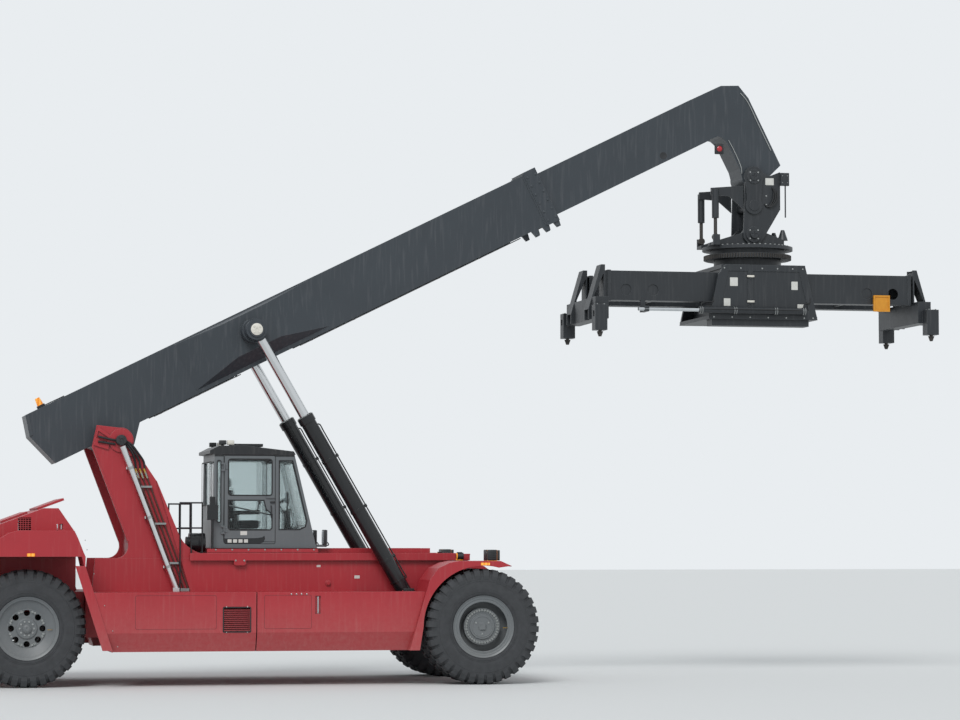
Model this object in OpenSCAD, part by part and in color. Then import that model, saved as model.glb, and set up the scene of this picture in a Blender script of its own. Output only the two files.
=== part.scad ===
// Reach stacker: a four-wheeled container handler with a telescopic boom, standing as it parks.
// Front is +X, left is +Y, the ground is z = 0. All lengths are millimetres, all angles degrees.
// The boom's own axes are u (along the boom from its pivot) and w (square to it, upwards).

/* [Wheels] */
// Distance between the drive axle and the steer axle
wheelbase = 7300; // [6600:50:8200]
// Tyre diameter out to the lugs' tips
tyre_d = 1870; // [1700:10:2000]
// Tyre width
tyre_w = 500; // [400:10:540]
// Rim diameter at the tyre's bead
rim_d = 970; // [800:10:1050]
// Gap between the twin tyres of a drive wheel
twin_gap = 90; // [60:5:120]
// Half of the width over the drive tyres
half_width = 2100; // [2000:10:2250]
// Middle of a steer tyre from the machine's middle
steer_y = 1500; // [1440:10:1600]
// Kingpin from the machine's middle
kingpin_y = 1150; // [1080:10:1180]
// Number of lugs round a tyre
lug_count = 36; // [24:1:44]
// Depth of a lug
lug_h = 30; // [15:1:45]

/* [Chassis] */
// Height of the deck's top
deck_z = 2100; // [2050:10:2200]
// Lowest edge of the side boxes
box_z = 560; // [450:10:700]
// Outer face of the side boxes from the middle
box_y = 1980; // [1850:10:2050]
// Half-width of the frame between the steer wheels
rear_frame_y = 500; // [400:10:520]
// Rear end of the counterweight from the drive axle
tail_x = -9200; // [-9600:50:-9000]
// Top of the hood
hood_z = 2840; // [2600:10:2900]

/* [Boom] */
// Height of the boom's pivot
pivot_z = 3950; // [3700:10:4200]
// Boom pivot from the drive axle
pivot_x = -5750; // [-6000:10:-5500]
// Boom angle as parked
boom_angle = 26.4; // [20:0.1:30]
// Depth of the outer boom
boom_h = 920; // [850:10:1000]
// Width of the outer boom
boom_w = 800; // [700:10:820]
// Plate thickness of both booms
boom_wall = 16; // [10:1:25]
// Outer boom's front end from the pivot
collar_u = 8350; // [8000:10:8700]
// Depth of the inner boom
inner_h = 770; // [700:5:790]
// Width of the inner boom
inner_w = 660; // [600:5:690]
// Rear end of the inner boom from the pivot
inner_u = 2300; // [2250:10:2800]
// Pivot pin diameter
pivot_d = 260; // [200:10:300]

/* [Lift cylinders] */
// Upper pin along the boom
lift_u = 2750; // [2600:10:2900]
// Upper pin above the pivot, square to the boom
lift_w = 665; // [560:5:720]
// Foot pin from the drive axle
foot_x = -1040; // [-1100:10:-1000]
// Foot pin height
foot_z = 1380; // [1300:10:1450]
// Cylinder from the machine's middle
lift_y = 1000; // [980:5:1020]
// Barrel diameter
barrel_d = 250; // [220:5:260]
// Rod diameter
rod_d = 170; // [140:5:180]
// Barrel from its foot pin to its mouth
barrel_len = 3440; // [3400:10:3500]

/* [Head and spreader] */
// Head pin along the boom
head_u = 11800; // [11700:10:11900]
// Head pin below the pivot's line, square to the boom
head_w = -690; // [-720:5:-660]
// Distance between the link's two pins
link_len = 1000; // [950:10:1050]
// Diameter of the link's pins
link_pin_d = 140; // [100:5:160]
// Slew ring diameter
slew_d = 1300; // [1100:10:1400]
// Half-length between twistlocks
lock_x = 2926.5; // [2920:0.5:2935]
// Half-width between twistlocks
lock_y = 1129.5; // [1120:0.5:1140]
// Top of the telescopic tubes below the head pin
tube_drop = 1700; // [1650:10:1750]
// Height of a telescopic tube
tube_h = 500; // [440:10:540]
// Width of a telescopic tube
tube_w = 300; // [260:10:320]
// Inner face of a tube from the middle
tube_y = 460; // [450:5:500]
// Plate thickness of the tubes and beams
tube_wall = 14; // [8:1:20]

/* [Cab] */
// Rear end of the cab from the drive axle
cab_x = -4250; // [-4300:10:-4200]
// Length of the cab at its floor
cab_len = 1750; // [1650:10:1800]
// Half-width of the cab
cab_y = 720; // [680:10:740]
// Bottom of the cab
cab_z = 2200; // [2160:10:2300]
// Height of the cab
cab_h = 1680; // [1600:10:1750]
// Wall thickness of the cab
cab_wall = 60; // [40:5:80]

/* [Clearances] */
// Running gap of pins and sliding pieces
fit = 0.3; // [0.2:0.1:1]
// Gap round the door
door_gap = 8; // [6:1:12]

/* [View] */
// Which sub-part to build

/* [Hidden] */
$fn = 64;
red = "#A3222B";
slate = "#2F353B";
grey = "#5A5F62";
black = "#1C1E20";
rubber = "#26282A";
chrome = "#C9CDD0";
amber = "#F09A28";
glass = "#7F9AA4";

tyre_r = tyre_d / 2;
rim_r = rim_d / 2;
wheel_z = tyre_r;
// Middle of the two spreader ends and the tail, so that the origin lies under the middle.
end_x = lock_x + 105;
ca = cos(boom_angle);
sa = sin(boom_angle);
head_x = pivot_x + head_u * ca - head_w * sa;
head_z = pivot_z + head_u * sa + head_w * ca;
front_axle_x = -(tail_x + head_x + end_x) / 2;
low_pin_z = head_z - link_len;
platform_z = low_pin_z - 200;
slew_z = platform_z - 60;
tube_z = head_z - tube_drop;
carriage_z = tube_z + 130;
boom_base_w = 125;
boom_mid_w = boom_base_w + boom_h / 2;
lift_top_x = pivot_x + lift_u * ca - lift_w * sa;
lift_top_z = pivot_z + lift_u * sa + lift_w * ca;
lift_len = norm([lift_top_x - foot_x, lift_top_z - foot_z]);
lift_tilt = atan2(foot_x - lift_top_x, lift_top_z - foot_z);
boss_y = lift_y - 120 - 10;
tower_y = 680;
tower_t = 80;
cheek_y = 600;
axle_d = 380;
deck_y = 840;
deck_x = -4620;
tank_y = 1260;
fender_z = 2130;
weight_x = -8500;
weight_z = 700;
weight_top_z = 2480;
lug_x = -8850;
lug_y = 1300;
lug_plate_r = 90;
lug_plate_t = 50;
lug_hole_d = 80;
axle_seat_z = 1180;
plate_z = deck_z - 60;
spine_x0 = -6300;
spine_x1 = -1300;
spine_z0 = 760;
spine_z1 = 1500;
spine_y = tower_y + tower_t;
foot_d = 130;
hinge_d = 14;
eye_w = 240;
side_gap = 10;
// Foot and lean of the front wheel's arch, which the side box and the fender share
arch_foot_x = -1209;
arch_lean = 0.287;
// The same for the rear wheel's arch
rear_arch_x = -5972;
rear_arch_lean = -0.325;
// Recess for the pipes in the tower's outer face
pipe_x = -5740;
pipe_lean = 0.3814;
pipe_d = 105;
recess_d = 45;
bundle_x = -5405;
bundle_lean = 0.3756;
bundle_d = 28;
seam_x = -3683;
seam_gap = 16;
skirt_z0 = 860;
skirt_in = 120;
deck_end_x = -200;
damper_x = -700;
sensor_x = 560;
sensor_len = 700;
cover_r = 140;
panel_x = -230;
tube_end = 2700;
lug_half = 48;
casing_r = tyre_r - lug_h;
lug_r = sqrt(tyre_r * tyre_r - lug_half * lug_half);
bead_y = tyre_w / 2 - 40;
spindle_d = 300;
hub_face = half_width - 125;
hand_holes = 8;
skirt_x0 = -4340;
skirt_x1 = -2510;
front_corner_r = 550;
rear_corner_r = 200;
front_corner_x = -4290;
rear_corner_x = -5817;
fender_top = 1995;
fender_top_z = 2480;
flange_y = 2050;
arch_r = 985;
hood_y = 1500;

// Everything is drawn from the drive axle and then moved over the origin.
function arch_x(z) = arch_foot_x + (z - box_z) * arch_lean;
function rear_arch(z) = rear_arch_x + (z - box_z) * rear_arch_lean;
function main_pipe_x(z) = pipe_x + (3870 - z) * pipe_lean;
function bundle_pipe_x(z, i) = bundle_x + (i - 1) * 70 + (3400 - z) * bundle_lean;

module placed() {
  translate([front_axle_x, 0, 0]) children();
}

// A plate or box with its outline in the X-Z plane, from y0 to y1.
module prism(points, y0, y1) {
  translate([0, y1, 0]) rotate([90, 0, 0]) linear_extrude(y1 - y0) polygon(points);
}

// Rounded rectangle in the X-Z plane, as a flat shape
module rounded(x0, z0, x1, z1, r) {
  translate([x0 + r, z0]) square([x1 - x0 - 2 * r, z1 - z0]);
  translate([x0, z0 + r]) square([x1 - x0, z1 - z0 - 2 * r]);
  for (x = [x0 + r, x1 - r], z = [z0 + r, z1 - r])
    translate([x, z]) circle(r = r);
}

// A flat shape of the X-Z plane made into a plate from y0 to y1
module plate_y(y0, y1) {
  translate([0, y1, 0]) rotate([90, 0, 0]) linear_extrude(y1 - y0) children();
}

// A box from its least to its greatest corner.
module block(low, high) {
  translate(low) cube(high - low);
}

// A round bar along Y.
module bar_y(d, y0, y1, x, z) {
  translate([x, y1, z]) rotate([90, 0, 0]) cylinder(d = d, h = y1 - y0);
}

module bar_along_z(d, x, y, z0, z1) {
  translate([x, y, z0]) cylinder(d = d, h = z1 - z0);
}

// The same piece on the right and on the left.
module both() {
  children();
  mirror([0, 1, 0]) children();
}

module on_boom() {
  placed() translate([pivot_x, 0, pivot_z]) rotate([0, -boom_angle, 0]) children();
}

module on_side(side) {
  if (side > 0) children();
  else mirror([0, 1, 0]) children();
}

// A round bar between two points.
module strut(a, b, d) {
  v = b - a;
  translate(a) rotate([0, acos(v[2] / norm(v)), atan2(v[1], v[0])]) cylinder(d = d, h = norm(v));
}

// Chassis

// Shallow recess that runs down the tower and the side plate behind the pipes
module pipe_recess() {
  prism([[main_pipe_x(3700), 3700], [main_pipe_x(spine_z1), spine_z1], [-4600, spine_z1], [-5165, 3300],
    [-5060, 3300], [-5060, 3700]], spine_y - recess_d, spine_y + 1);
}

module chassis_frame() {
  color(red) placed() {
    difference() {
      block([spine_x0, -spine_y, spine_z0], [spine_x1, spine_y, spine_z1]);
      block([spine_x0 + 30, -spine_y + 30, spine_z0 + 30], [spine_x1 - 30, spine_y - 30, spine_z1 - 30]);
    }
    // Rear frame over the steer axle
    difference() {
      block([weight_x, -rear_frame_y, axle_seat_z], [spine_x0, rear_frame_y, spine_z1]);
      block([weight_x + 30, -rear_frame_y + 30, axle_seat_z + 30],
        [spine_x0 - 30, rear_frame_y - 30, spine_z1 - 30]);
    }
    // Front cheeks that hold the drive axle
    both() difference() {
      prism([[spine_x1, spine_z0], [-420, 700], [420, 700], [760, 1100], [760, 1560], [300, 1900],
        [-100, plate_z], [spine_x1, plate_z]], cheek_y, spine_y);
      bar_y(axle_d + 2 * fit, cheek_y - 1, spine_y + 1, 0, wheel_z);
    }
    block([430, -cheek_y, 1150], [760, cheek_y, 1500]);
    // Upper side plates and the deck with its edge beams and the skirts below the cab
    both() difference() {
      prism([[-6200, spine_z1], [spine_x1, spine_z1], [spine_x1, plate_z], [-6150, plate_z]],
        tower_y, spine_y);
      pipe_recess();
    }
    block([deck_x, -deck_y + 40, plate_z], [deck_end_x, deck_y - 40, deck_z]);
    both() {
      block([deck_x, deck_y - 40, plate_z - 40], [deck_end_x, deck_y, deck_z + 20]);
      block([skirt_x0, deck_y - 40, deck_z + 20], [skirt_x1, deck_y - 8, deck_z + 34]);
      block([skirt_x0, deck_y - 40, deck_z + 34], [skirt_x1, deck_y, cab_z - 10]);
      // Rounded tab that hangs from the edge beam
      block([-3900, deck_y - 20, 1960], [-3700, deck_y, plate_z - 39]);
      for (x = [-3860, -3740])
        bar_y(80, deck_y - 20, deck_y, x, 1960);
      block([-3860, deck_y - 20, 1920], [-3740, deck_y, 1961]);
      // Filler neck on the side plate
      bar_y(90, spine_y, spine_y + 25, -2331, 1629);
      bar_y(60, spine_y + 25, spine_y + 45, -2331, 1629);
    }
    // Cross walls under the deck
    for (x = [-5900, -4300, -2800, spine_x1 - 40])
      difference() {
        block([x, -tower_y, spine_z1], [x + 40, tower_y, plate_z]);
        block([x - 1, -300, spine_z1 + 120], [x + 41, 300, plate_z - 120]);
      }
    // Brackets of the lift cylinders' feet, with their pins
    both() block([-1460, spine_y, 800], [spine_x1, 1240, 1160]);
    both() difference() {
      for (y = [lift_y - eye_w / 2 - side_gap - 50, lift_y + eye_w / 2 + side_gap])
        prism([[spine_x1 - 1, 1000], [foot_x + 60, 1150], [foot_x + 130, foot_z], [foot_x + 60, foot_z + 130],
          [foot_x - 120, foot_z + 130], [spine_x1 - 1, 1155]], y, y + 50);
      bar_y(foot_d, 600, 1400, foot_x, foot_z);
    }
    both() bar_y(foot_d, lift_y - 190, lift_y + 190, foot_x, foot_z);
    // Cab rails
    both() block([deck_x + 300, 380, deck_z], [-560, 460, cab_z]);
  }
}

// Side of the tower: straight edges, a rounded eye and two hollow corners on the deck
module tower_plate() {
  difference() {
    union() {
      polygon([[-6214, 3841], [-6136, 4198], [-5700, pivot_z + 200], [-5560, pivot_z - 60], [-5156, 3294],
        [-4797, 2438], [front_corner_x, deck_z], [deck_x, deck_z], [deck_x, plate_z],
        [rear_corner_x, plate_z], [-5630, 2311]]);
      translate([pivot_x, pivot_z]) circle(r = 210);
    }
    translate([front_corner_x, deck_z + front_corner_r]) circle(r = front_corner_r);
    translate([rear_corner_x, plate_z + rear_corner_r]) circle(r = rear_corner_r);
  }
}

module tower() {
  color(red) placed() {
    both() difference() {
      translate([0, tower_y + tower_t, 0]) rotate([90, 0, 0]) linear_extrude(tower_t) tower_plate();
      pipe_recess();
      bar_y(pivot_d, tower_y - 1, tower_y + tower_t + 1, pivot_x, pivot_z);
    }
    // Cross walls between the plates, the rear one with a round manhole
    difference() {
      block([-5560, -tower_y, plate_z], [-5500, tower_y, 2900]);
      translate([-5570, 0, 2500]) rotate([0, 90, 0]) cylinder(d = 420, h = 80);
    }
    block([-5000, -tower_y, plate_z], [-4940, tower_y, 2400]);
    bar_y(pivot_d, -tower_y - tower_t - 30, tower_y + tower_t + 30, pivot_x, pivot_z);
    both() {
      difference() {
        bar_y(380, tower_y + tower_t, tower_y + tower_t + 30, pivot_x, pivot_z);
        bar_y(pivot_d, tower_y + tower_t - 1, tower_y + tower_t + 31, pivot_x, pivot_z);
      }
      // Pin's end cap and the slotted bracket behind it
      bar_y(165, tower_y + tower_t + 30, tower_y + tower_t + 140, pivot_x, pivot_z);
      difference() {
        prism([[-6185, 3870], [-6120, 4170], [-5925, 4030], [-5950, 3800]], spine_y, spine_y + 30);
        prism([[-6145, 3985], [-6115, 4105], [-5960, 4000], [-5970, 3900]], spine_y + 5, spine_y + 31);
      }
      // Edge strips that stiffen the plate
      prism([[-6214, 3841], [-6190, 3848], [-5606, 2316], [-5630, 2311]], spine_y, spine_y + 12);
    }
  }
}

// One closed box along the side, chamfered along its lower edge; the outlines lie in the X-Z plane
module tank(points, inside) {
  difference() {
    prism(points, tank_y, box_y);
    lower_chamfer(0);
    difference() {
      prism(inside, tank_y + 40, box_y - 40);
      lower_chamfer(-44);
    }
  }
}

module lower_chamfer(grow) {
  translate([-6500, 0, 0]) rotate([90, 0, 90]) linear_extrude(6000)
    polygon([[box_y + 1, skirt_z0 - grow], [box_y + 1, box_z - 2],
      [box_y - skirt_in + grow, box_z - 2], [box_y + grow, skirt_z0 - grow]]);
}

module side_boxes() {
  color(red) placed() both() {
    difference() {
      tank([[rear_arch(spine_z1), spine_z1], [rear_arch(box_z), box_z], [seam_x - seam_gap / 2, box_z],
        [seam_x - seam_gap / 2, spine_z1]], [[rear_arch(spine_z1) + 70, spine_z1 - 40],
        [rear_arch(box_z) + 60, box_z + 40], [seam_x - 48, box_z + 40], [seam_x - 48, spine_z1 - 40]]);
      block([-4211, box_y - 41, 880], [-3793, box_y + 1, 1253]);
    }
    difference() {
      tank([[seam_x + seam_gap / 2, spine_z1], [seam_x + seam_gap / 2, box_z], [arch_x(box_z), box_z],
        [arch_x(spine_z1), spine_z1]], [[seam_x + 48, spine_z1 - 40], [seam_x + 48, box_z + 40],
        [arch_x(box_z) - 40, box_z + 40], [arch_x(spine_z1) - 50, spine_z1 - 40]]);
      // Recess of the handle
      block([-2740, box_y - 25, 1150], [-2650, box_y + 1, 1440]);
    }
    bar_along_z(18, -2695, box_y - 12, 1149, 1441);
    block([seam_x - seam_gap / 2 - 1, tank_y, spine_z1 - 200],
      [seam_x + seam_gap / 2 + 1, box_y - 60, spine_z1 - 20]);
    // Louvres of the grille
    for (z = [892 : 32 : 1240])
      block([-4211, box_y - 36, z], [-3793, box_y - 8, z + 12]);
    // Walkway and brackets to the spine
    block([-6150, spine_y, spine_z1 - 30], [-1900, tank_y, spine_z1]);
    for (x = [-5600, -3900, -2000])
      block([x, spine_y, 900], [x + 80, tank_y, 1300]);
  }
}

module hood() {
  color(red) placed() {
    difference() {
      prism([[-6412, fender_z], [-6534, 2420], [-6560, 2490], [-6804, hood_z], [-7033, hood_z],
        [-7760, 2570], [weight_x, weight_top_z], [weight_x, fender_z]], -hood_y, hood_y);
      prism([[-6460, fender_z - 1], [-6580, 2430], [-6605, 2500], [-6825, hood_z - 40],
        [-7025, hood_z - 40], [-7750, 2530], [weight_x - 1, weight_top_z - 40], [weight_x - 1, fender_z - 1]],
        -hood_y + 40, hood_y - 40);
      both() {
        block([-7443, hood_y - 50, fender_top_z + 10], [-7237, hood_y + 1, 2690]);
        // Latch pocket
        block([-6790, hood_y - 20, fender_top_z + 20], [-6730, hood_y + 1, 2590]);
      }
    }
    // Grid of the side vents
    both() {
      for (z = [fender_top_z + 35 : 30 : 2680])
        block([-7443, hood_y - 38, z], [-7237, hood_y - 10, z + 10]);
      for (x = [-7405 : 40 : -7250])
        block([x, hood_y - 34, fender_top_z + 10], [x + 10, hood_y - 14, 2690]);
    }
    // Raised lids over the engine
    for (x = [-7640, -7060])
      translate([x, 0, 2570 + (x + 7760) * 0.3714]) rotate([0, -20.4, 0])
        block([-30, -900, -3], [420, 900, 36]);
  }
}

module counterweight() {
  color(red) placed() {
    difference() {
      translate([0, 0, weight_z]) linear_extrude(weight_top_z - weight_z)
        polygon([[weight_x, -1900], [-8950, -1900], [-9130, -1700], [tail_x, -1100], [tail_x, 1100],
          [-9130, 1700], [-8950, 1900], [weight_x, 1900]]);
      block([tail_x - 1, -120, 860], [tail_x + 240, 120, 1140]);
      // Chamfer along the top edge at the tail
      translate([0, -2000, 0]) rotate([-90, 0, 0]) linear_extrude(4000)
        polygon([[tail_x - 1, -weight_top_z - 1], [tail_x + 160, -weight_top_z - 1],
          [tail_x - 1, -weight_top_z + 160]]);
    }
    translate([tail_x + 110, 0, 860]) cylinder(d = 80, h = 280);
    // Lifting lugs on top
    both() difference() {
      union() {
        block([lug_x - lug_plate_r, lug_y, weight_top_z - 1],
          [lug_x + lug_plate_r, lug_y + lug_plate_t, weight_top_z + lug_plate_r]);
        bar_y(2 * lug_plate_r, lug_y, lug_y + lug_plate_t, lug_x, weight_top_z + lug_plate_r);
      }
      bar_y(lug_hole_d, lug_y - 1, lug_y + lug_plate_t + 1, lug_x, weight_top_z + lug_plate_r);
    }
  }
}

// Arch of the front fender, from its foot over the wheel to its tip
fender_arch = [[arch_foot_x, box_z], [-882, 1690], [-740, 1880], [-560, 1965], [-400, fender_top],
  [290, fender_top], [470, 1915]];
fender_t = 18;

module fenders() {
  color(red) placed() both() {
    // Rear: flat top over the wheel, a box beside the hood and the wall in front of the wheel
    prism([[-6412, fender_z - 60], [-6440, fender_z], [weight_x, fender_z], [weight_x, fender_z - 60]],
      1180, 2000);
    difference() {
      prism([[-6440, fender_z - 1], [-6534, 2365], [-6591, fender_top_z], [-7480, fender_top_z],
        [-7620, 2440], [-7800, 2330], [weight_x, 2330], [weight_x, fender_z - 1]], hood_y, 2000);
      prism([[-6490, fender_z - 2], [-6575, 2365], [-6620, fender_top_z - 30], [-7470, fender_top_z - 30],
        [-7600, 2415], [-7790, 2300], [weight_x + 30, 2300], [weight_x + 30, fender_z - 2]],
        hood_y + 30, 1970);
    }
    prism([[rear_arch(1924), 1924], [rear_arch(1924) - 20, 1924], [-6470, fender_z - 60],
      [-6412, fender_z - 59]], 1180, 2000);
    prism([[rear_arch(1925) - fit, 1925], [rear_arch(1925) - 20, 1925], [rear_arch(box_z) - 20, box_z],
      [rear_arch(box_z) - fit, box_z]], 1180, 2000);
    prism([[rear_arch(1924), 1924], [rear_arch(1924) - 157, 1924], [rear_arch(585) - 157, 585],
      [rear_arch(585), 585]], 1990, 2002);
    block([weight_x, rear_frame_y - 40, fender_z - 60], [-6440, 1180, fender_z]);
    block([weight_x, rear_frame_y - 40, spine_z1], [-6440, rear_frame_y, fender_z - 60]);
    // Front: a thin arch with a flat flange along its outer edge
    translate([0, flange_y, 0]) rotate([90, 0, 0]) linear_extrude(flange_y - 1200) difference() {
      polygon(concat(fender_arch, [[470, box_z]]));
      translate([fender_t, -fender_t]) polygon(concat(fender_arch, [[470, box_z - fender_t]]));
    }
    translate([0, flange_y + 12, 0]) rotate([90, 0, 0]) linear_extrude(12) difference() {
      polygon(concat(fender_arch, [[250, 1885], [0, 1700], [-800, 1300], [-945, 1200],
        [arch_foot_x + 164, box_z]]));
      translate([0, wheel_z]) circle(r = arch_r);
    }
    block([-400, spine_y, 1900], [-340, 1260, fender_top - 8]);
  }
}

module front_axle() {
  color(grey) placed() {
    bar_y(480, -cheek_y + 20, cheek_y - 20, 0, wheel_z);
    both() bar_y(axle_d, cheek_y - 20, 1000, 0, wheel_z);
    both() bar_y(spindle_d, 1000, half_width - 330, 0, wheel_z);
    difference() {
      translate([0, 0, wheel_z]) sphere(d = 760, $fn = 48);
      block([-400, -400, wheel_z + 300], [400, 400, wheel_z + 400]);
    }
  }
}

module rear_axle() {
  color(grey) placed() translate([-wheelbase, 0, 0]) {
    prism([[-190, 740], [190, 740], [230, 800], [230, 1060], [190, 1120], [-190, 1120], [-230, 1060],
      [-230, 800]], -960, 960);
    both() for (z = [700, 1080])
      difference() {
        translate([-150, 900, z]) cube([300, 250, 90]);
        translate([0, kingpin_y, z - 1]) cylinder(d = 121, h = 92);
      }
    both() translate([0, kingpin_y, 700]) cylinder(d = 120, h = 470);
    block([-130, -260, 1120], [130, 260, axle_seat_z]);
    bar_y(130, -500, 500, -330, 935);
    both() bar_y(70, 500, 720, -330, 935);
    both() block([-330, 380, 880], [-230, 440, 990]);
  }
}

module engine_block() {
  color(grey) placed() block([-8150, -400, spine_z1], [-6650, 400, 2340]);
}

module handrails() {
  rail_y = deck_y - 20;
  color(black) placed() {
    both() {
      bar_along_z(26, -4780, rail_y, spine_z1, 2953);
      for (x = [-4600, -4420])
        bar_along_z(26, x, rail_y, deck_z + 20, 2953);
      for (z = [2530, 2940])
        translate([-4793, rail_y, z]) rotate([0, 90, 0]) cylinder(d = 26, h = 386);
    }
    // Junction box on its post, beside the cab's rear corner
    bar_along_z(40, -4254, -rail_y, cab_z - 10, cab_z + 470);
    block([-4345, -852, 2661], [-4163, -768, 2906]);
    block([-4300, -840, 2905], [-4210, -780, 3040]);
    // Oil filter housing that lies on the deck
    translate([-4600, -500, deck_z + 190]) rotate([0, 90, 0]) cylinder(d = 320, h = 260);
    translate([-4650, -500, deck_z + 190]) rotate([0, 90, 0]) cylinder(d = 200, h = 51);
    for (x = [-4580, -4420])
      block([x, -580, deck_z], [x + 50, -420, deck_z + 80]);
  }
}

module tower_pipes() {
  clamp_y = spine_y - recess_d;
  color(chrome) placed() both() {
    strut([main_pipe_x(3850), 880, 3850], [main_pipe_x(spine_z1 + 30), 880, spine_z1 + 30], pipe_d);
    block([main_pipe_x(spine_z1) - 70, 820, spine_z1], [main_pipe_x(spine_z1) + 35, 940, spine_z1 + 60]);
    for (z = [1900, 2700, 3500])
      block([main_pipe_x(z) - 70, spine_y, z - 20], [main_pipe_x(z) + 5, 890, z + 20]);
    for (i = [0 : 2]) {
      strut([bundle_pipe_x(3380, i), 750, 3380], [bundle_pipe_x(spine_z1 + 20, i), 750, spine_z1 + 20],
        bundle_d);
      strut([bundle_pipe_x(3450, i), 750, 3450], [bundle_pipe_x(3340, i), 750, 3340], 46);
    }
    block([bundle_pipe_x(spine_z1, 0) - 10, clamp_y, spine_z1],
      [bundle_pipe_x(spine_z1, 2), 775, spine_z1 + 50]);
    for (z = [1960, 2600, 3200])
      block([bundle_pipe_x(z, 0) - 22, clamp_y, z - 16], [bundle_pipe_x(z, 2) + 22, 778, z + 16]);
  }
}

module lamps() {
  color(amber) placed() both() {
    block([-7333, 2000, 2075], [-7208, 2022, 2122]);
    block([-43, flange_y + 12, 1925], [105, flange_y + 26, 1968]);
    // Headlamp on the fender and work lamp at the deck's front end
    block([84, 1700, fender_top], [250, 1960, 2172]);
    block([250, 1715, fender_top + 12], [290, 1945, 2160]);
    block([deck_end_x, 790, 2000], [deck_end_x + 124, 830, 2012]);
    translate([deck_end_x + 10, 810, 2066]) rotate([0, 90, 0]) cylinder(d = 110, h = 110);
  }
}

// Cab

cab_front = cab_x + cab_len;
front_lean = 13.5;
cab_profile = [[cab_x + 20, cab_z], [cab_front, cab_z], [cab_front - 30, cab_z + 50],
  [cab_front - 388, cab_z + cab_h - 140], [cab_x + 40, cab_z + cab_h - 140]];
roof_profile = [[cab_x - 38, cab_z + cab_h - 130], [cab_x - 38, cab_z + cab_h - 80],
  [cab_x + 120, cab_z + cab_h], [cab_x + 560, cab_z + cab_h], [cab_front - 400, cab_z + cab_h - 90],
  [cab_front - 370, cab_z + cab_h - 145], [cab_x + 100, cab_z + cab_h - 145]];
door_x0 = cab_x + 190;
door_x1 = cab_x + 1051;
door_z0 = cab_z + 100;
door_z1 = cab_z + 1530;
hinge_x = door_x0 + door_gap;
hinge_y = -cab_y - 18;
hinge_z = [door_z0 + 200, door_z1 - 200];
quarter = [[door_x1 + 55, cab_z + 300], [cab_front - 300, cab_z + 300], [cab_front - 200, cab_z + 350],
  [cab_front - 176, cab_z + 450], [cab_front - 414, cab_z + 1440], [door_x1 + 55, cab_z + 1440]];

module cab_shell() {
  color(grey) placed() {
    difference() {
      union() {
        prism(cab_profile, -cab_y, cab_y);
        prism(roof_profile, -cab_y - 14, cab_y + 14);
      }
      prism([[cab_x + 80, cab_z + cab_wall], [cab_front - 95, cab_z + cab_wall],
        [cab_front - 440, cab_z + cab_h - 190], [cab_x + 100, cab_z + cab_h - 190]],
        -cab_y + cab_wall, cab_y - cab_wall);
      // Door opening on the right and the same window field on the left
      block([door_x0, -cab_y - 1, door_z0], [door_x1, -cab_y + cab_wall + 1, door_z1]);
      plate_y(cab_y - cab_wall - 1, cab_y + 1)
        rounded(door_x0 + 60, cab_z + 300, door_x1, door_z1 - 60, 60);
      both() prism(quarter, cab_y - cab_wall - 1, cab_y + 1);
      both() plate_y(cab_y - cab_wall - 1, cab_y + 1)
        rounded(cab_x + 80, cab_z + 420, cab_x + 150, cab_z + 1440, 30);
      // Rear window and windscreen
      block([cab_x - 1, -cab_y + 120, cab_z + 700], [cab_x + 120, cab_y - 120, cab_z + 1420]);
      translate([cab_front - 30, 0, cab_z + 50]) rotate([0, -front_lean, 0])
        block([-150, -cab_y + 80, 260], [60, cab_y - 80, 1400]);
    }
    // Hinge lugs and pins of the door
    for (z = hinge_z) {
      for (side = [-1, 1]) {
        lug_z = z + side * 55;
        block([door_x0 - 40, hinge_y - 12, lug_z - 14], [hinge_x + 11, hinge_y + 8, lug_z + 14]);
        block([door_x0 - 40, hinge_y + 8, lug_z - 14], [door_x0 - 2, -cab_y + 1, lug_z + 14]);
      }
      translate([hinge_x, hinge_y, z - 69]) cylinder(d = hinge_d, h = 138);
    }
    // Work lamps and ventilator on the roof
    both() for (x = [cab_x + 130, cab_x + 260]) {
      block([x + 30, 600, cab_z + cab_h - 2], [x + 70, 640, cab_z + cab_h + 20]);
      block([x, 570, cab_z + cab_h + 20], [x + 105, 670, cab_z + cab_h + 85]);
    }
    block([cab_x + 420, -300, cab_z + cab_h - 2], [cab_x + 900, 300, cab_z + cab_h + 45]);
    // Mirrors on their brackets
    both() {
      block([cab_front - 40, 500, cab_z + 20], [cab_front + 180, 560, cab_z + 60]);
      block([cab_front + 120, 440, cab_z + 60], [cab_front + 180, 620, cab_z + 300]);
    }
  }
}

module cab_glass() {
  pane_y = cab_y - cab_wall / 2 - 4;
  color(glass) placed() {
    both() prism(quarter, pane_y, pane_y + 8);
    both() plate_y(pane_y, pane_y + 8) rounded(cab_x + 80, cab_z + 420, cab_x + 150, cab_z + 1440, 30);
    plate_y(pane_y, pane_y + 8) rounded(door_x0 + 60, cab_z + 300, door_x1, door_z1 - 60, 60);
    block([cab_x + 60, -cab_y + 120, cab_z + 700], [cab_x + 68, cab_y - 120, cab_z + 1420]);
    translate([cab_front - 30, 0, cab_z + 50]) rotate([0, -front_lean, 0])
      block([-38, -cab_y + 80, 260], [-30, cab_y - 80, 1400]);
  }
}

module in_cab() {
  placed() translate([cab_x + 420, 0, cab_z + cab_wall]) children();
}

module cab_seat() {
  color(black) in_cab() {
    block([-60, -250, 260], [460, 250, 400]);
    prism([[-60, 400], [60, 400], [-30, 1120], [-130, 1120]], -240, 240);
  }
}

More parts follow.
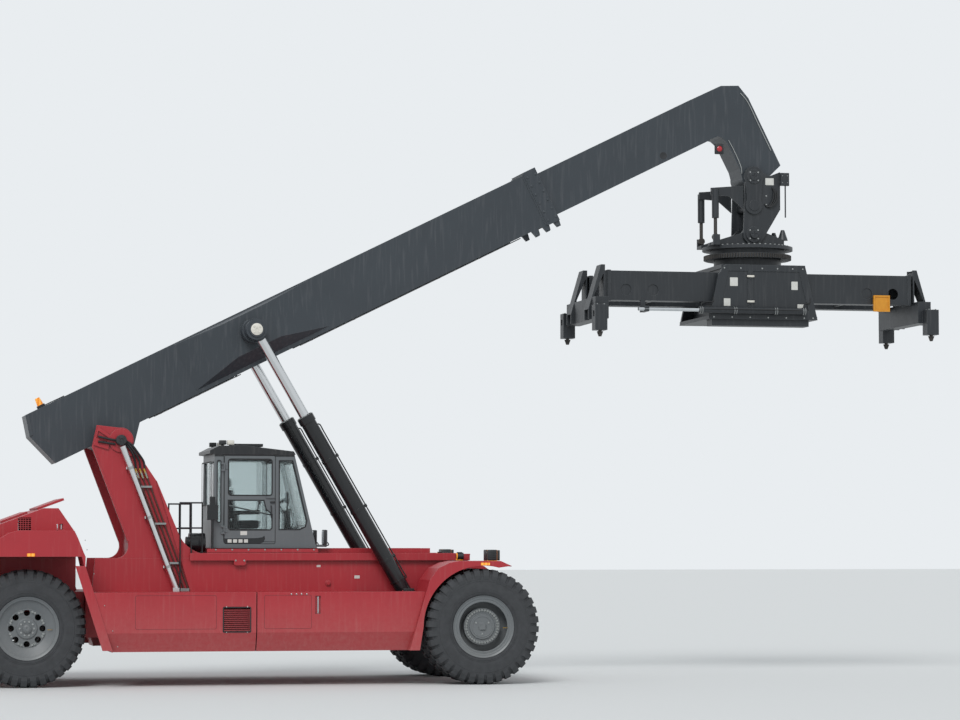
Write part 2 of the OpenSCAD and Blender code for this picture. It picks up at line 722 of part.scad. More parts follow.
module cab_controls() {
  color(black) in_cab() {
    block([0, -200, 0], [360, 200, 260]);
    // Armrests
    both() {
      block([0, 255, 120], [80, 310, 500]);
      block([0, 200, 120], [80, 256, 180]);
      block([-20, 255, 500], [420, 330, 560]);
    }
    // Console and steering wheel
    prism([[850, 0], [990, 0], [960, 600], [860, 540]], -120, 120);
    translate([860, 0, 540]) rotate([0, -35, 0]) {
      translate([0, 0, -60]) cylinder(d = 60, h = 220);
      translate([0, 0, 160]) rotate_extrude($fn = 48) translate([180, 0]) circle(d = 32, $fn = 16);
      translate([0, 0, 150]) cylinder(d = 90, h = 30);
      for (a = [30, 150, 270])
        rotate(a) block([30, -18, 154], [176, 18, 166]);
    }
  }
}

module door_windows(y0, y1) {
  plate_y(y0, y1) rounded(door_x0 + 75, cab_z + 860, door_x1 - 55, door_z1 - 65, 50);
  prism([[door_x0 + 75, cab_z + 330], [door_x0 + 110, cab_z + 295], [door_x1 - 90, cab_z + 295],
    [door_x1 - 55, cab_z + 330], [door_x1 - 55, cab_z + 560], [door_x1 - 150, cab_z + 640],
    [door_x1 - 190, cab_z + 790], [door_x0 + 75, cab_z + 790]], y0, y1);
}

module door_frame() {
  color(grey) placed() {
    difference() {
      union() {
        block([hinge_x, -cab_y, door_z0 + door_gap],
          [door_x1 - door_gap, -cab_y + cab_wall, door_z1 - door_gap]);
        for (z = hinge_z) {
          translate([hinge_x, hinge_y, z - 40]) cylinder(d = 28, h = 80);
          block([hinge_x, -cab_y - 8, z - 40], [hinge_x + 60, -cab_y, z + 40]);
        }
      }
      for (z = hinge_z)
        translate([hinge_x, hinge_y, z - 41]) cylinder(d = hinge_d + 2 * fit, h = 82);
      door_windows(-cab_y - 1, -cab_y + cab_wall + 1);
    }
    // Grab bar across the lower window, on the inner side
    strut([door_x0 + 70, -cab_y + cab_wall - 12, cab_z + 700],
      [door_x1 - 45, -cab_y + cab_wall - 12, cab_z + 540], 22);
    // Handle
    block([door_x1 - 50, -cab_y - 10, cab_z + 820], [door_x1 - 20, -cab_y, cab_z + 850]);
    block([door_x1 - 160, -cab_y - 26, cab_z + 820], [door_x1 - 20, -cab_y - 10, cab_z + 850]);
  }
}

module door_glass() {
  color(glass) placed() {
    door_windows(-cab_y + cab_wall / 2 - 12, -cab_y + cab_wall / 2 - 4);
  }
}

// Boom

boom_y = boom_w / 2;
inner_y = inner_w / 2;
inner_w0 = boom_mid_w - inner_h / 2;
inner_w1 = boom_mid_w + inner_h / 2;
boom_top_w = boom_base_w + boom_h;

module boom_outer() {
  color(slate) on_boom() {
    difference() {
      union() {
        prism([[-1080, boom_base_w], [-1265, 700], [-1175, boom_top_w], [collar_u, boom_top_w],
          [collar_u, boom_base_w]], -boom_y, boom_y);
        // Collar at the mouth, a rib behind it and three guide lugs below
        block([collar_u - 230, -boom_y - 25, boom_base_w - 25], [collar_u, boom_y + 25, boom_top_w + 40]);
        block([collar_u - 262, -boom_y - 12, boom_base_w - 12],
          [collar_u - 229, boom_y + 12, boom_top_w + 15]);
        both() for (i = [0 : 2])
          prism([[collar_u - 120 - i * 205, boom_base_w + 1], [collar_u - 85 - i * 205, boom_base_w - 120],
            [collar_u - 20 - i * 205, boom_base_w - 120], [collar_u - i * 205, boom_base_w + 1]],
            boom_y - 60, boom_y);
        // Rear end's edge strips
        both() prism([[-1265, 700], [-1175, boom_top_w], [-1120, boom_top_w], [-1210, 700]],
          boom_y - 1, boom_y + 10);
        // Pivot lugs
        prism([[-450, boom_base_w + 1], [-210, -160], [-100, -225], [100, -225], [210, -160],
          [450, boom_base_w + 1]], -boom_y, boom_y);
        both() bar_y(380, boom_y, tower_y - 10, 0, 0);
        // Reinforcement round the lift cylinders' pins
        both() hull() {
          block([1500, boom_y - 1, boom_base_w + 60], [4000, boom_y, boom_top_w - 20]);
          block([2350, boom_y, boom_mid_w - 200], [3150, 600, boom_top_w - 60]);
        }
        both() bar_y(400, 590, boss_y, lift_u, lift_w);
      }
      block([-1000, -boom_y + boom_wall, boom_base_w + boom_wall],
        [collar_u + 1, boom_y - boom_wall, boom_top_w - boom_wall]);
      bar_y(pivot_d + 2 * fit, -tower_y, tower_y, 0, 0);
    }
    // Wear pads at the mouth, above and below the inner boom
    for (w = [[boom_base_w + boom_wall, inner_w0 - fit], [inner_w1 + fit, boom_top_w - boom_wall]])
      both() block([collar_u - 300, 120, w[0]], [collar_u - 60, 300, w[1]]);
    both() block([collar_u - 300, inner_y + fit, 400], [collar_u - 60, boom_y - boom_wall, 760]);
  }
}

module beacon() {
  color(amber) on_boom() {
    translate([-850, 0, boom_top_w]) cylinder(d = 130, h = 40);
    translate([-850, 0, boom_top_w + 40]) cylinder(d1 = 110, d2 = 80, h = 130);
  }
}

module boom_inner() {
  color(slate) on_boom() {
    difference() {
      union() {
        block([inner_u, -inner_y, inner_w0], [11400, inner_y, inner_w1]);
        prism([[11300, inner_w1], [11990, inner_w1 - 10], [12280, 830], [12345, 560], [12345, -724],
          [11860, -880], [11800, -880], [11610, -690], [11655, -467], [11650, 40], [11600, 160],
          [11550, inner_w0], [11300, inner_w0 + 20]],
          -inner_y, inner_y);
        bar_y(380, -inner_y, inner_y, head_u, head_w);
      }
      block([inner_u - 1, -inner_y + boom_wall, inner_w0 + boom_wall],
        [11500, inner_y - boom_wall, inner_w1 - boom_wall]);
      prism([[11300, inner_w1 - 30], [11980, inner_w1 - 30], [12240, 800], [12310, 550], [12310, -200],
        [11700, -200], [11680, 90], [11590, 220], [11300, 300]], -inner_y + boom_wall, inner_y - boom_wall);
      bar_y(link_pin_d + 2 * fit, -400, 400, head_u, head_w);
    }
    // Wear pads at the rear end
    for (w = [[boom_base_w + boom_wall + fit, inner_w0], [inner_w1, boom_top_w - boom_wall - fit]])
      both() block([inner_u + 20, 120, w[0]], [inner_u + 320, 300, w[1]]);
  }
}

// Lift cylinders, drawn upright over their foot pins

module on_lift(side) {
  placed() translate([foot_x, side * lift_y, foot_z]) rotate([0, -lift_tilt, 0]) children();
}

module lift_barrel(side) {
  color(black) on_lift(side) {
    difference() {
      union() {
        bar_y(320, -120, 120, 0, 0);
        cylinder(d = barrel_d, h = barrel_len);
        translate([0, 0, barrel_len - 120]) cylinder(d = barrel_d + 30, h = 120);
      }
      translate([0, 0, 250]) cylinder(d = barrel_d - 50, h = barrel_len - 250 - 55);
      translate([0, 0, 250]) cylinder(d = rod_d + 2 * fit, h = barrel_len);
      bar_y(foot_d + 2 * fit, -barrel_d, barrel_d, 0, 0);
    }
  }
}

module lift_rod(side) {
  piston_z = lift_len - 3480;
  color(chrome) on_lift(side) {
    difference() {
      union() {
        translate([0, 0, piston_z]) cylinder(d = barrel_d - 50 - 2 * fit, h = 200);
        translate([0, 0, piston_z]) cylinder(d = rod_d, h = lift_len - piston_z - 100);
        bar_y(340, -120, 120, 0, lift_len);
      }
      bar_y(150, -121, 121, 0, lift_len);
    }
    bar_y(150, -120, 120, 0, lift_len);
    bar_y(250, side > 0 ? 120 : -150, side > 0 ? 150 : -120, 0, lift_len);
  }
}

// Head

module at_head() {
  placed() translate([head_x, 0, 0]) children();
}

// Flat shape of the link's doubler: two round ends and a waist
module link_outline() {
  translate([0, head_z]) circle(r = 175);
  translate([0, head_z - link_len / 2]) circle(r = 150);
  polygon([[-150, head_z - 80], [150, head_z - 80], [125, head_z - link_len / 2 + 60],
    [-125, head_z - link_len / 2 + 60]]);
}

module head_link() {
  plate_y0 = inner_y + 10;
  color(slate) at_head() {
    both() difference() {
      union() {
        prism([[-150, head_z + 60], [-60, head_z + 160], [60, head_z + 160], [180, head_z + 60],
          [300, head_z + 20], [480, head_z + 90], [480, head_z - 560], [180, low_pin_z - 60],
          [90, low_pin_z - 165], [-90, low_pin_z - 165], [-180, low_pin_z - 60]], plate_y0, plate_y0 + 35);
        plate_y(plate_y0 + 35, plate_y0 + 70) link_outline();
        bar_y(250, plate_y0 + 70, plate_y0 + 85, 0, head_z);
        bar_y(270, plate_y0 + 35, plate_y0 + 60, 0, low_pin_z);
      }
      bar_y(link_pin_d, 0, 600, 0, head_z);
      bar_y(link_pin_d, 0, 600, 0, low_pin_z);
    }
    // Pins with cross slots in their caps
    for (z = [head_z, low_pin_z])
      difference() {
        bar_y(link_pin_d, -inner_y - 110, inner_y + 110, 0, z);
        both() {
          block([-50, inner_y + 100, z - 9], [50, inner_y + 111, z + 9]);
          block([-9, inner_y + 100, z - 50], [9, inner_y + 111, z + 50]);
        }
      }
    bar_y(180, -inner_y - 95, inner_y + 95, 0, head_z - link_len / 2);
    both() {
      // Sensor box at the plate's front edge with its rod
      block([470, plate_y0 + 34, head_z - 150], [620, plate_y0 + 110, head_z + 70]);
      translate([sensor_x, plate_y0 + 72, head_z - sensor_len]) cylinder(d = 24, h = sensor_len - 149);
      // Damper barrel on its bracket
      prism([[-180, head_z - 160], [-180, head_z - 560], [-430, head_z - 350], [damper_x - 60, head_z - 330],
        [damper_x - 60, head_z - 210]], plate_y0, plate_y0 + 30);
      difference() {
        translate([damper_x, inner_y + 100, head_z - 735]) cylinder(d = 120, h = 495);
        translate([damper_x, inner_y + 100, head_z - 736]) cylinder(d = 60 + 2 * fit, h = 466);
      }
      block([damper_x - 60, plate_y0, head_z - 270], [damper_x + 60, inner_y + 110, head_z - 240]);
    }
  }
}

module damper_rods() {
  color(chrome) at_head() both() {
    translate([damper_x, inner_y + 100, low_pin_z - 60]) cylinder(d = 60, h = 500);
    bar_y(110, inner_y + 60, inner_y + 140, damper_x, low_pin_z - 60);
  }
}

module slew_platform() {
  color(slate) at_head() {
    difference() {
      union() {
        both() prism([[damper_x - 70, platform_z], [damper_x - 70, platform_z + 50], [-190, low_pin_z + 30],
          [-90, low_pin_z + 140], [90, low_pin_z + 140], [170, low_pin_z + 60], [560, platform_z + 120],
          [560, platform_z]], 200, inner_y);
        translate([0, 0, slew_z]) cylinder(d = 1560, h = 60);
      }
      bar_y(link_pin_d + 2 * fit, -500, 500, 0, low_pin_z);
    }
    translate([0, 0, slew_z - 80]) cylinder(d = slew_d, h = 80);
    both() {
      // Arms under the dampers' rods, with the eyes' cheeks
      block([damper_x - 60, 199, platform_z], [damper_x + 60, inner_y + 175, platform_z + 50]);
      block([damper_x - 60, inner_y + 145, platform_z + 49],
        [damper_x + 60, inner_y + 175, platform_z + 180]);
      // Cone under the sensor rod
      translate([sensor_x, 250, platform_z + 119]) cylinder(d1 = 180, d2 = 60, h = 180);
    }
  }
}

// Spreader, drawn about the slew axis

module carriage() {
  frame_z0 = tube_z - tube_h - 300;
  cover = [[-740 + cover_r, carriage_z - 1], [740, carriage_z - 1], [960, frame_z0], [-960, frame_z0],
    [-792, carriage_z - cover_r - 20]];
  color(slate) at_head() {
    translate([0, 0, slew_z - 165]) cylinder(d = 1480, h = 85);
    translate([0, 0, carriage_z - 1]) cylinder(d = 1160, h = slew_z - 164 - carriage_z);
    block([-740, -900, carriage_z - 70], [740, 900, carriage_z]);
    block([-960, -900, frame_z0], [960, 900, frame_z0 + 60]);
    // Side covers with a rounded corner and two sunk panels
    both() difference() {
      plate_y(850, 920) {
        polygon(cover);
        translate([-740 + cover_r - 12, carriage_z - cover_r]) circle(r = cover_r);
      }
      prism([[-620, carriage_z - 110], [panel_x - 40, carriage_z - 110], [panel_x - 40, frame_z0 + 160],
        [-770, frame_z0 + 160]], 905, 921);
      prism([[panel_x + 40, carriage_z - 110], [640, carriage_z - 110], [800, frame_z0 + 160],
        [panel_x + 40, frame_z0 + 160]], 905, 921);
    }
    for (x = [-720, 680])
      difference() {
        block([x, -850, frame_z0 + 60], [x + 40, 850, carriage_z - 70]);
        both() block([x - 1, tube_y - 8, tube_z - tube_h - 8], [x + 41, tube_y + tube_w + 8, tube_z + 8]);
      }
    // Hinges of the covers' panels
    both() for (z = [carriage_z - 200, frame_z0 + 300])
      bar_along_z(30, panel_x, 925, z - 50, z + 50);
    // Slide pads round the tubes
    for (x = [-720, 640])
      both() {
        block([x, tube_y, tube_z + fit], [x + 80, tube_y + tube_w, tube_z + 20]);
        block([x, tube_y, tube_z - tube_h - 20], [x + 80, tube_y + tube_w, tube_z - tube_h - fit]);
      }
    // Side shift cylinder's barrel with its end rings, and the valve box
    difference() {
      union() {
        translate([-1160, -990, tube_z - tube_h - 160]) rotate([0, 90, 0]) cylinder(d = 110, h = 1880);
        for (x = [-1160, -560, 160, 660])
          translate([x, -990, tube_z - tube_h - 160]) rotate([0, 90, 0]) cylinder(d = 128, h = 60);
      }
      translate([-1161, -990, tube_z - tube_h - 160]) rotate([0, 90, 0]) cylinder(d = 60 + 2 * fit, h = 1800);
    }
    for (x = [-700, 500])
      block([x, -955, tube_z - tube_h - 190], [x + 60, -920, tube_z - tube_h - 130]);
    block([-900, -860, frame_z0 - 110], [820, -560, frame_z0]);
  }
}

module tube_shell(x0, x1) {
  difference() {
    block([x0, tube_y, tube_z - tube_h], [x1, tube_y + tube_w, tube_z]);
    block([x0 - 1, tube_y + tube_wall, tube_z - tube_h + tube_wall],
      [x1 + 1, tube_y + tube_w - tube_wall, tube_z - tube_wall]);
  }
}

module main_tubes() {
  color(slate) at_head() {
    both() difference() {
      tube_shell(-tube_end, tube_end);
      // Round access holes in the outer walls
      for (x = [-2375, -1903, 1903, 2375])
        bar_y(190, tube_y + tube_w - tube_wall - 1, tube_y + tube_w + 1, x, tube_z - 320);
    }
    both() for (x = [-tube_end, tube_end - 60])
      tube_band(x, x + 60);
    for (x = [-tube_end + 60, -1750, 1710, tube_end - 100])
      block([x, -tube_y, tube_z - tube_h + 40], [x + 40, tube_y, tube_z - 40]);
    // Side shift rod
    translate([-2050, -990, tube_z - tube_h - 160]) rotate([0, 90, 0]) cylinder(d = 60, h = 1850);
    block([-2120, -1020, tube_z - tube_h - 200], [-2040, -700, tube_z - tube_h - 110]);
    block([-2120, -760, tube_z - tube_h - 200], [-2040, -700, tube_z - tube_h]);
  }
}

module flood_lamp() {
  x0 = 2005;
  z0 = tube_z - 620;
  y0 = -tube_y - tube_w;
  color(amber) at_head() {
    block([x0 + 60, y0 - 20, z0 + 130], [x0 + 210, y0, z0 + 260]);
    block([x0, y0 - 70, z0], [x0 + 270, y0 - 20, z0 + 260]);
    difference() {
      block([x0 - 10, y0 - 95, z0 - 10], [x0 + 280, y0 - 70, z0 + 270]);
      block([x0 + 15, y0 - 96, z0 + 15], [x0 + 255, y0 - 80, z0 + 245]);
    }
  }
}

// Raised band round a tube's end
module tube_band(x0, x1) {
  difference() {
    block([x0, tube_y - 12, tube_z - tube_h - 12], [x1, tube_y + tube_w + 12, tube_z + 12]);
    block([x0 - 1, tube_y + 1, tube_z - tube_h + 1], [x1 + 1, tube_y + tube_w - 1, tube_z - 1]);
  }
}

// One end beam for the +X end with its telescopic beam on the left
module end_beam() {
  cross_top = tube_z - tube_h + 40;
  gap = tube_wall + fit;
  x0 = tube_end + 40;
  x1 = end_x;
  difference() {
    block([-2300, tube_y + gap, tube_z - tube_h + gap], [x0 + 1, tube_y + tube_w - gap, tube_z - gap]);
    block([-2301, tube_y + gap + 12, tube_z - tube_h + gap + 12],
      [x0 - 60, tube_y + tube_w - gap - 12, tube_z - gap - 12]);
  }
  difference() {
    block([x0, -1000, cross_top - 370], [x1 - 60, 1000, cross_top]);
    block([x0 + 20, -960, cross_top - 350], [x1 - 80, 960, cross_top - 20]);
  }
  both() {
    // End plate and the two gussets that lean out to the corner
    block([x0, tube_y, cross_top - 1], [x0 + 25, tube_y + tube_w, tube_z + 60]);
    for (y = [tube_y, tube_y + tube_w - 25])
      difference() {
        prism([[x0, tube_z + 100], [x0 + 70, tube_z + 100], [x1, cross_top - 200], [x1, cross_top - 370],
          [x0, cross_top - 370]], y, y + 25);
        prism([[x0 + 24, tube_z - 60], [x0 + 30, tube_z - 60], [x1 - 105, cross_top + 40],
          [x1 - 105, cross_top + 1], [x0 + 24, cross_top + 1]], y - 1, y + 26);
      }
    prism([[x0 + 40, tube_z + 100], [x0 + 70, tube_z + 100], [x1, cross_top - 200],
      [x1 - 30, cross_top - 200]], tube_y, tube_y + tube_w);
    difference() {
      block([lock_x - 105, lock_y - 130, lock_z0], [x1, lock_y + 95, cross_top - 150]);
      translate([lock_x, lock_y, lock_z0 - 1]) cylinder(d = 60 + 2 * fit, h = 400);
      block([lock_x - 70, lock_y - 60, lock_z0 + 230], [x1 + 1, lock_y + 40, lock_z0 + 330]);
    }
  }
}

lock_z0 = tube_z - tube_h - 540;

module beam_front() {
  color(slate) at_head() end_beam();
}

module beam_rear() {
  color(slate) at_head() rotate([0, 0, 180]) end_beam();
}

module twistlock(sx, sy) {
  color(grey) at_head() translate([sx * lock_x, sy * lock_y, lock_z0]) {
    translate([0, 0, -20]) cylinder(d = 60, h = 240);
    difference() {
      translate([0, 0, -105]) cylinder(d1 = 50, d2 = 110, h = 85);
      both() block([-60, 30, -110], [60, 80, -10]);
    }
  }
}

// Wheels, drawn about their own axle with the outer face towards +Y

// Half-outline of a tyre's casing without its lugs, from bead to bead
module casing(w) {
  rotate_extrude($fn = 96) polygon([
    [rim_r, -w / 2 + 40], [rim_r + 40, -w / 2 + 10], [rim_r + 130, -w / 2], [casing_r - 130, -w / 2 + 6],
    [casing_r - 50, -w / 2 + 40], [casing_r, -w / 2 + 110], [casing_r, w / 2 - 110],
    [casing_r - 50, w / 2 - 40], [casing_r - 130, w / 2 - 6], [rim_r + 130, w / 2],
    [rim_r + 40, w / 2 - 10], [rim_r, w / 2 - 40]]);
}

// The lugs of one half of the tread, each from the middle over the shoulder and down the side
module lug_row(w) {
  for (i = [0 : lug_count - 1])
    rotate([0, 0, i * 360 / lug_count]) rotate([90, 0, 0])
      translate([0, 0, -lug_half]) linear_extrude(2 * lug_half) polygon([
        [casing_r - 90, 8], [lug_r - 5, 8], [lug_r, w / 2 - 90], [lug_r - 30, w / 2 - 35],
        [lug_r - 110, w / 2 - 4], [casing_r - 140, w / 2 - 3], [casing_r - 148, w / 2 - 40]]);
}

module tyre(w, mid) {
  rotate([-90, 0, 0]) translate([0, 0, mid]) {
    casing(w);
    // Turned so that a lug's edge meets the ground
    rotate(asin(lug_half / tyre_r)) {
      lug_row(w);
      rotate(180 / lug_count) mirror([0, 0, 1]) lug_row(w);
    }
  }
}

// A round piece about the wheel's axle, from points of radius and place along Y
module turned(points) {
  rotate([-90, 0, 0]) rotate_extrude($fn = 96) polygon(points);
}

// Rim with its outer flange; with lock, a lock ring stands inside the flange
module rim_ring(mid, lock) {
  turned(concat([[rim_r - 30, mid - bead_y], [rim_r, mid - bead_y], [rim_r, mid + bead_y + 1],
    [rim_r + 18, mid + bead_y + 15], [rim_r + 18, mid + bead_y + 26], [rim_r - 10, mid + bead_y + 10]],
    lock ? [[rim_r - 36, mid + bead_y + 10], [rim_r - 44, mid + bead_y + 2], [rim_r - 80, mid + bead_y + 8],
      [rim_r - 88, mid + bead_y], [rim_r - 88, mid + bead_y - 24], [rim_r - 40, mid + bead_y - 36]]
      : [[rim_r - 30, mid + bead_y + 4]], [[rim_r - 30, mid + bead_y - 60]]));
}

module front_wheel_place(side) {
  placed() on_side(side) translate([0, 0, wheel_z]) children();
}

module rear_wheel_place(side) {
  placed() on_side(side) translate([-wheelbase, 0, wheel_z]) children();
}

inner_mid = half_width - tyre_w * 1.5 - twin_gap;
outer_mid = half_width - tyre_w / 2;

module tyre_front(side) {
  color(rubber) front_wheel_place(side) {
    tyre(tyre_w, inner_mid);
    tyre(tyre_w, outer_mid);
  }
}

module rim_front(side) {
  disc_y = outer_mid - 60;
  bore_r = spindle_d / 2 + fit;
  bore_end = half_width - 330 + 2;
  color(grey) front_wheel_place(side) {
    rim_ring(inner_mid, false);
    rim_ring(outer_mid, true);
    for (disc = [[165, inner_mid], [285, disc_y]])
      turned([[disc[0], disc[1] - 15], [rim_r - 29, disc[1] - 15], [rim_r - 29, disc[1] + 15],
        [disc[0], disc[1] + 15]]);
    // Hub drum, bolt flange and the planet gear's cover
    turned([[bore_r, inner_mid - 40], [170, inner_mid - 40], [170, disc_y - 30], [290, disc_y - 30],
      [290, hub_face - 70], [300, hub_face - 70], [300, hub_face - 25], [215, hub_face - 25], [200, hub_face],
      [70, hub_face], [55, hub_face + 16], [0, hub_face + 16], [0, bore_end], [bore_r, bore_end]]);
  }
}

module tyre_rear(side) {
  color(rubber) rear_wheel_place(side) tyre(tyre_w, steer_y);
}

module rim_rear(side) {
  disc_y = steer_y + 120;
  color(grey) rear_wheel_place(side) {
    rim_ring(steer_y, false);
    // Dished disc with hand holes
    difference() {
      turned([[165, disc_y - 15], [310, disc_y - 15], [rim_r - 29, disc_y + 40], [rim_r - 29, disc_y + 66],
        [310, disc_y + 15], [165, disc_y + 15]]);
      for (i = [0 : hand_holes - 1])
        rotate([0, i * 360 / hand_holes, 0]) bar_y(100, disc_y - 20, disc_y + 20, 248, 0);
    }
    turned([[80 + fit, steer_y - 60], [170, steer_y - 60], [170, disc_y + 25], [150, disc_y + 40],
      [75, disc_y + 40], [70, disc_y + 70], [0, disc_y + 70], [0, steer_y + 100],
      [80 + fit, steer_y + 100]]);
  }
}

module knuckle(side) {
  color(grey) rear_wheel_place(side) {
    difference() {
      translate([0, kingpin_y, -140]) cylinder(d = 240, h = 280);
      translate([0, kingpin_y, -141]) cylinder(d = 120 + 2 * fit, h = 282);
    }
    difference() {
      bar_y(160, kingpin_y, steer_y + 98, 0, 0);
      translate([0, kingpin_y, -141]) cylinder(d = 120 + 2 * fit, h = 282);
    }
    block([-215, kingpin_y - 40, -60], [-80, kingpin_y + 40, 0]);
  }
}

chassis_frame();
tower();
side_boxes();
hood();
counterweight();
fenders();
front_axle();
rear_axle();
engine_block();
handrails();
tower_pipes();
lamps();
cab_shell();
cab_glass();
cab_seat();
cab_controls();
door_frame();
door_glass();
boom_outer();
beacon();
boom_inner();
lift_barrel(1);  // lift_barrel_left
lift_barrel(-1);  // lift_barrel_right
lift_rod(1);  // lift_rod_left
lift_rod(-1);  // lift_rod_right
head_link();
damper_rods();
slew_platform();
carriage();
main_tubes();
flood_lamp();
beam_front();
beam_rear();
twistlock(1, 1);  // twistlock_1
twistlock(1, -1);  // twistlock_2
twistlock(-1, 1);  // twistlock_3
twistlock(-1, -1);  // twistlock_4
knuckle(1);  // knuckle_left
knuckle(-1);  // knuckle_right
tyre_front(1);  // tyre_front_left
tyre_front(-1);  // tyre_front_right
rim_front(1);  // rim_front_left
rim_front(-1);  // rim_front_right
tyre_rear(1);  // tyre_rear_left
tyre_rear(-1);  // tyre_rear_right
rim_rear(1);  // rim_rear_left
rim_rear(-1);  // rim_rear_right
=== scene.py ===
# Dresses the reach stacker: camera first, then finishes, then the small pieces of each assembly.
import math

import bmesh
import bpy
from mathutils import Matrix, Vector


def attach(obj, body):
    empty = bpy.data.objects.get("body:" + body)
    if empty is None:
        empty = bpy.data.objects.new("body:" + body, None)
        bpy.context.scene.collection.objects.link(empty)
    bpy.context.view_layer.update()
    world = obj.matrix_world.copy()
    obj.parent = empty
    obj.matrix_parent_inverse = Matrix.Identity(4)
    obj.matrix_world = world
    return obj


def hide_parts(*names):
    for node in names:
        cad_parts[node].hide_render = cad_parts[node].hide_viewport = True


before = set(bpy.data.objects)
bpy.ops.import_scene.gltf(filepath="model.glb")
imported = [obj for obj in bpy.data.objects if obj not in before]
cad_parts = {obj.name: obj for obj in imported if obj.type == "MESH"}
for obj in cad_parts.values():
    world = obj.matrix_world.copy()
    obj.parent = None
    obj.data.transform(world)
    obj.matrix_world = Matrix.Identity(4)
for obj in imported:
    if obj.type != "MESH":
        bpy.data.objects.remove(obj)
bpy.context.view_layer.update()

scene = bpy.context.scene

# Camera: stands 51 m off the machine's right side, at a little over head height
cameraSetup = {
    "place": (-10.2549, -51.2256, 2.3015),   # metres, shared frame
    "turn": 12.30,                           # degrees from +Y towards +X
    "tilt": 3.3608,                          # degrees above level
    "focalPixels": 3100,                     # for a frame 960 pixels wide
    "frameWidth": 960,
    "sensor": 36.0,
}
cameraData = bpy.data.cameras.new("camera")
cameraData.sensor_width = cameraSetup["sensor"]
cameraData.lens = cameraSetup["focalPixels"] / cameraSetup["frameWidth"] * cameraSetup["sensor"]
cameraData.clip_end = 500
camera = bpy.data.objects.new("camera", cameraData)
camera.location = cameraSetup["place"]
camera.rotation_euler = (math.radians(90 + cameraSetup["tilt"]), 0, math.radians(-cameraSetup["turn"]))
scene.collection.objects.link(camera)
scene.camera = camera
print("camera placed")

# Colours and nodes


def linear(hexCode, alpha=1.0):
    # sRGB hex to the linear values that Blender's sockets take
    parts = [int(hexCode[i:i + 2], 16) / 255 for i in (1, 3, 5)]
    return [p / 12.92 if p <= 0.04045 else ((p + 0.055) / 1.055) ** 2.4 for p in parts] + [alpha]


def addNode(tree, kind, inputs=None, **settings):
    # One node with its settings; an input is a socket to link from, or a value
    made = tree.nodes.new(kind)
    for name, value in settings.items():
        setattr(made, name, value)
    for key, value in (inputs or {}).items():
        if isinstance(value, bpy.types.NodeSocket):
            tree.links.new(value, made.inputs[key])
        else:
            made.inputs[key].default_value = value
    return made


def startMaterial(name):
    material = bpy.data.materials.new(name)
    material.use_nodes = True
    tree = material.node_tree
    shader = tree.nodes["Principled BSDF"]
    place = addNode(tree, "ShaderNodeTexCoord").outputs["Object"]
    return material, tree, shader, place


def perMetre(sizeMm):
    # Texture scale at which one feature of a noise is about sizeMm across
    return 1000.0 / sizeMm


# Finishes


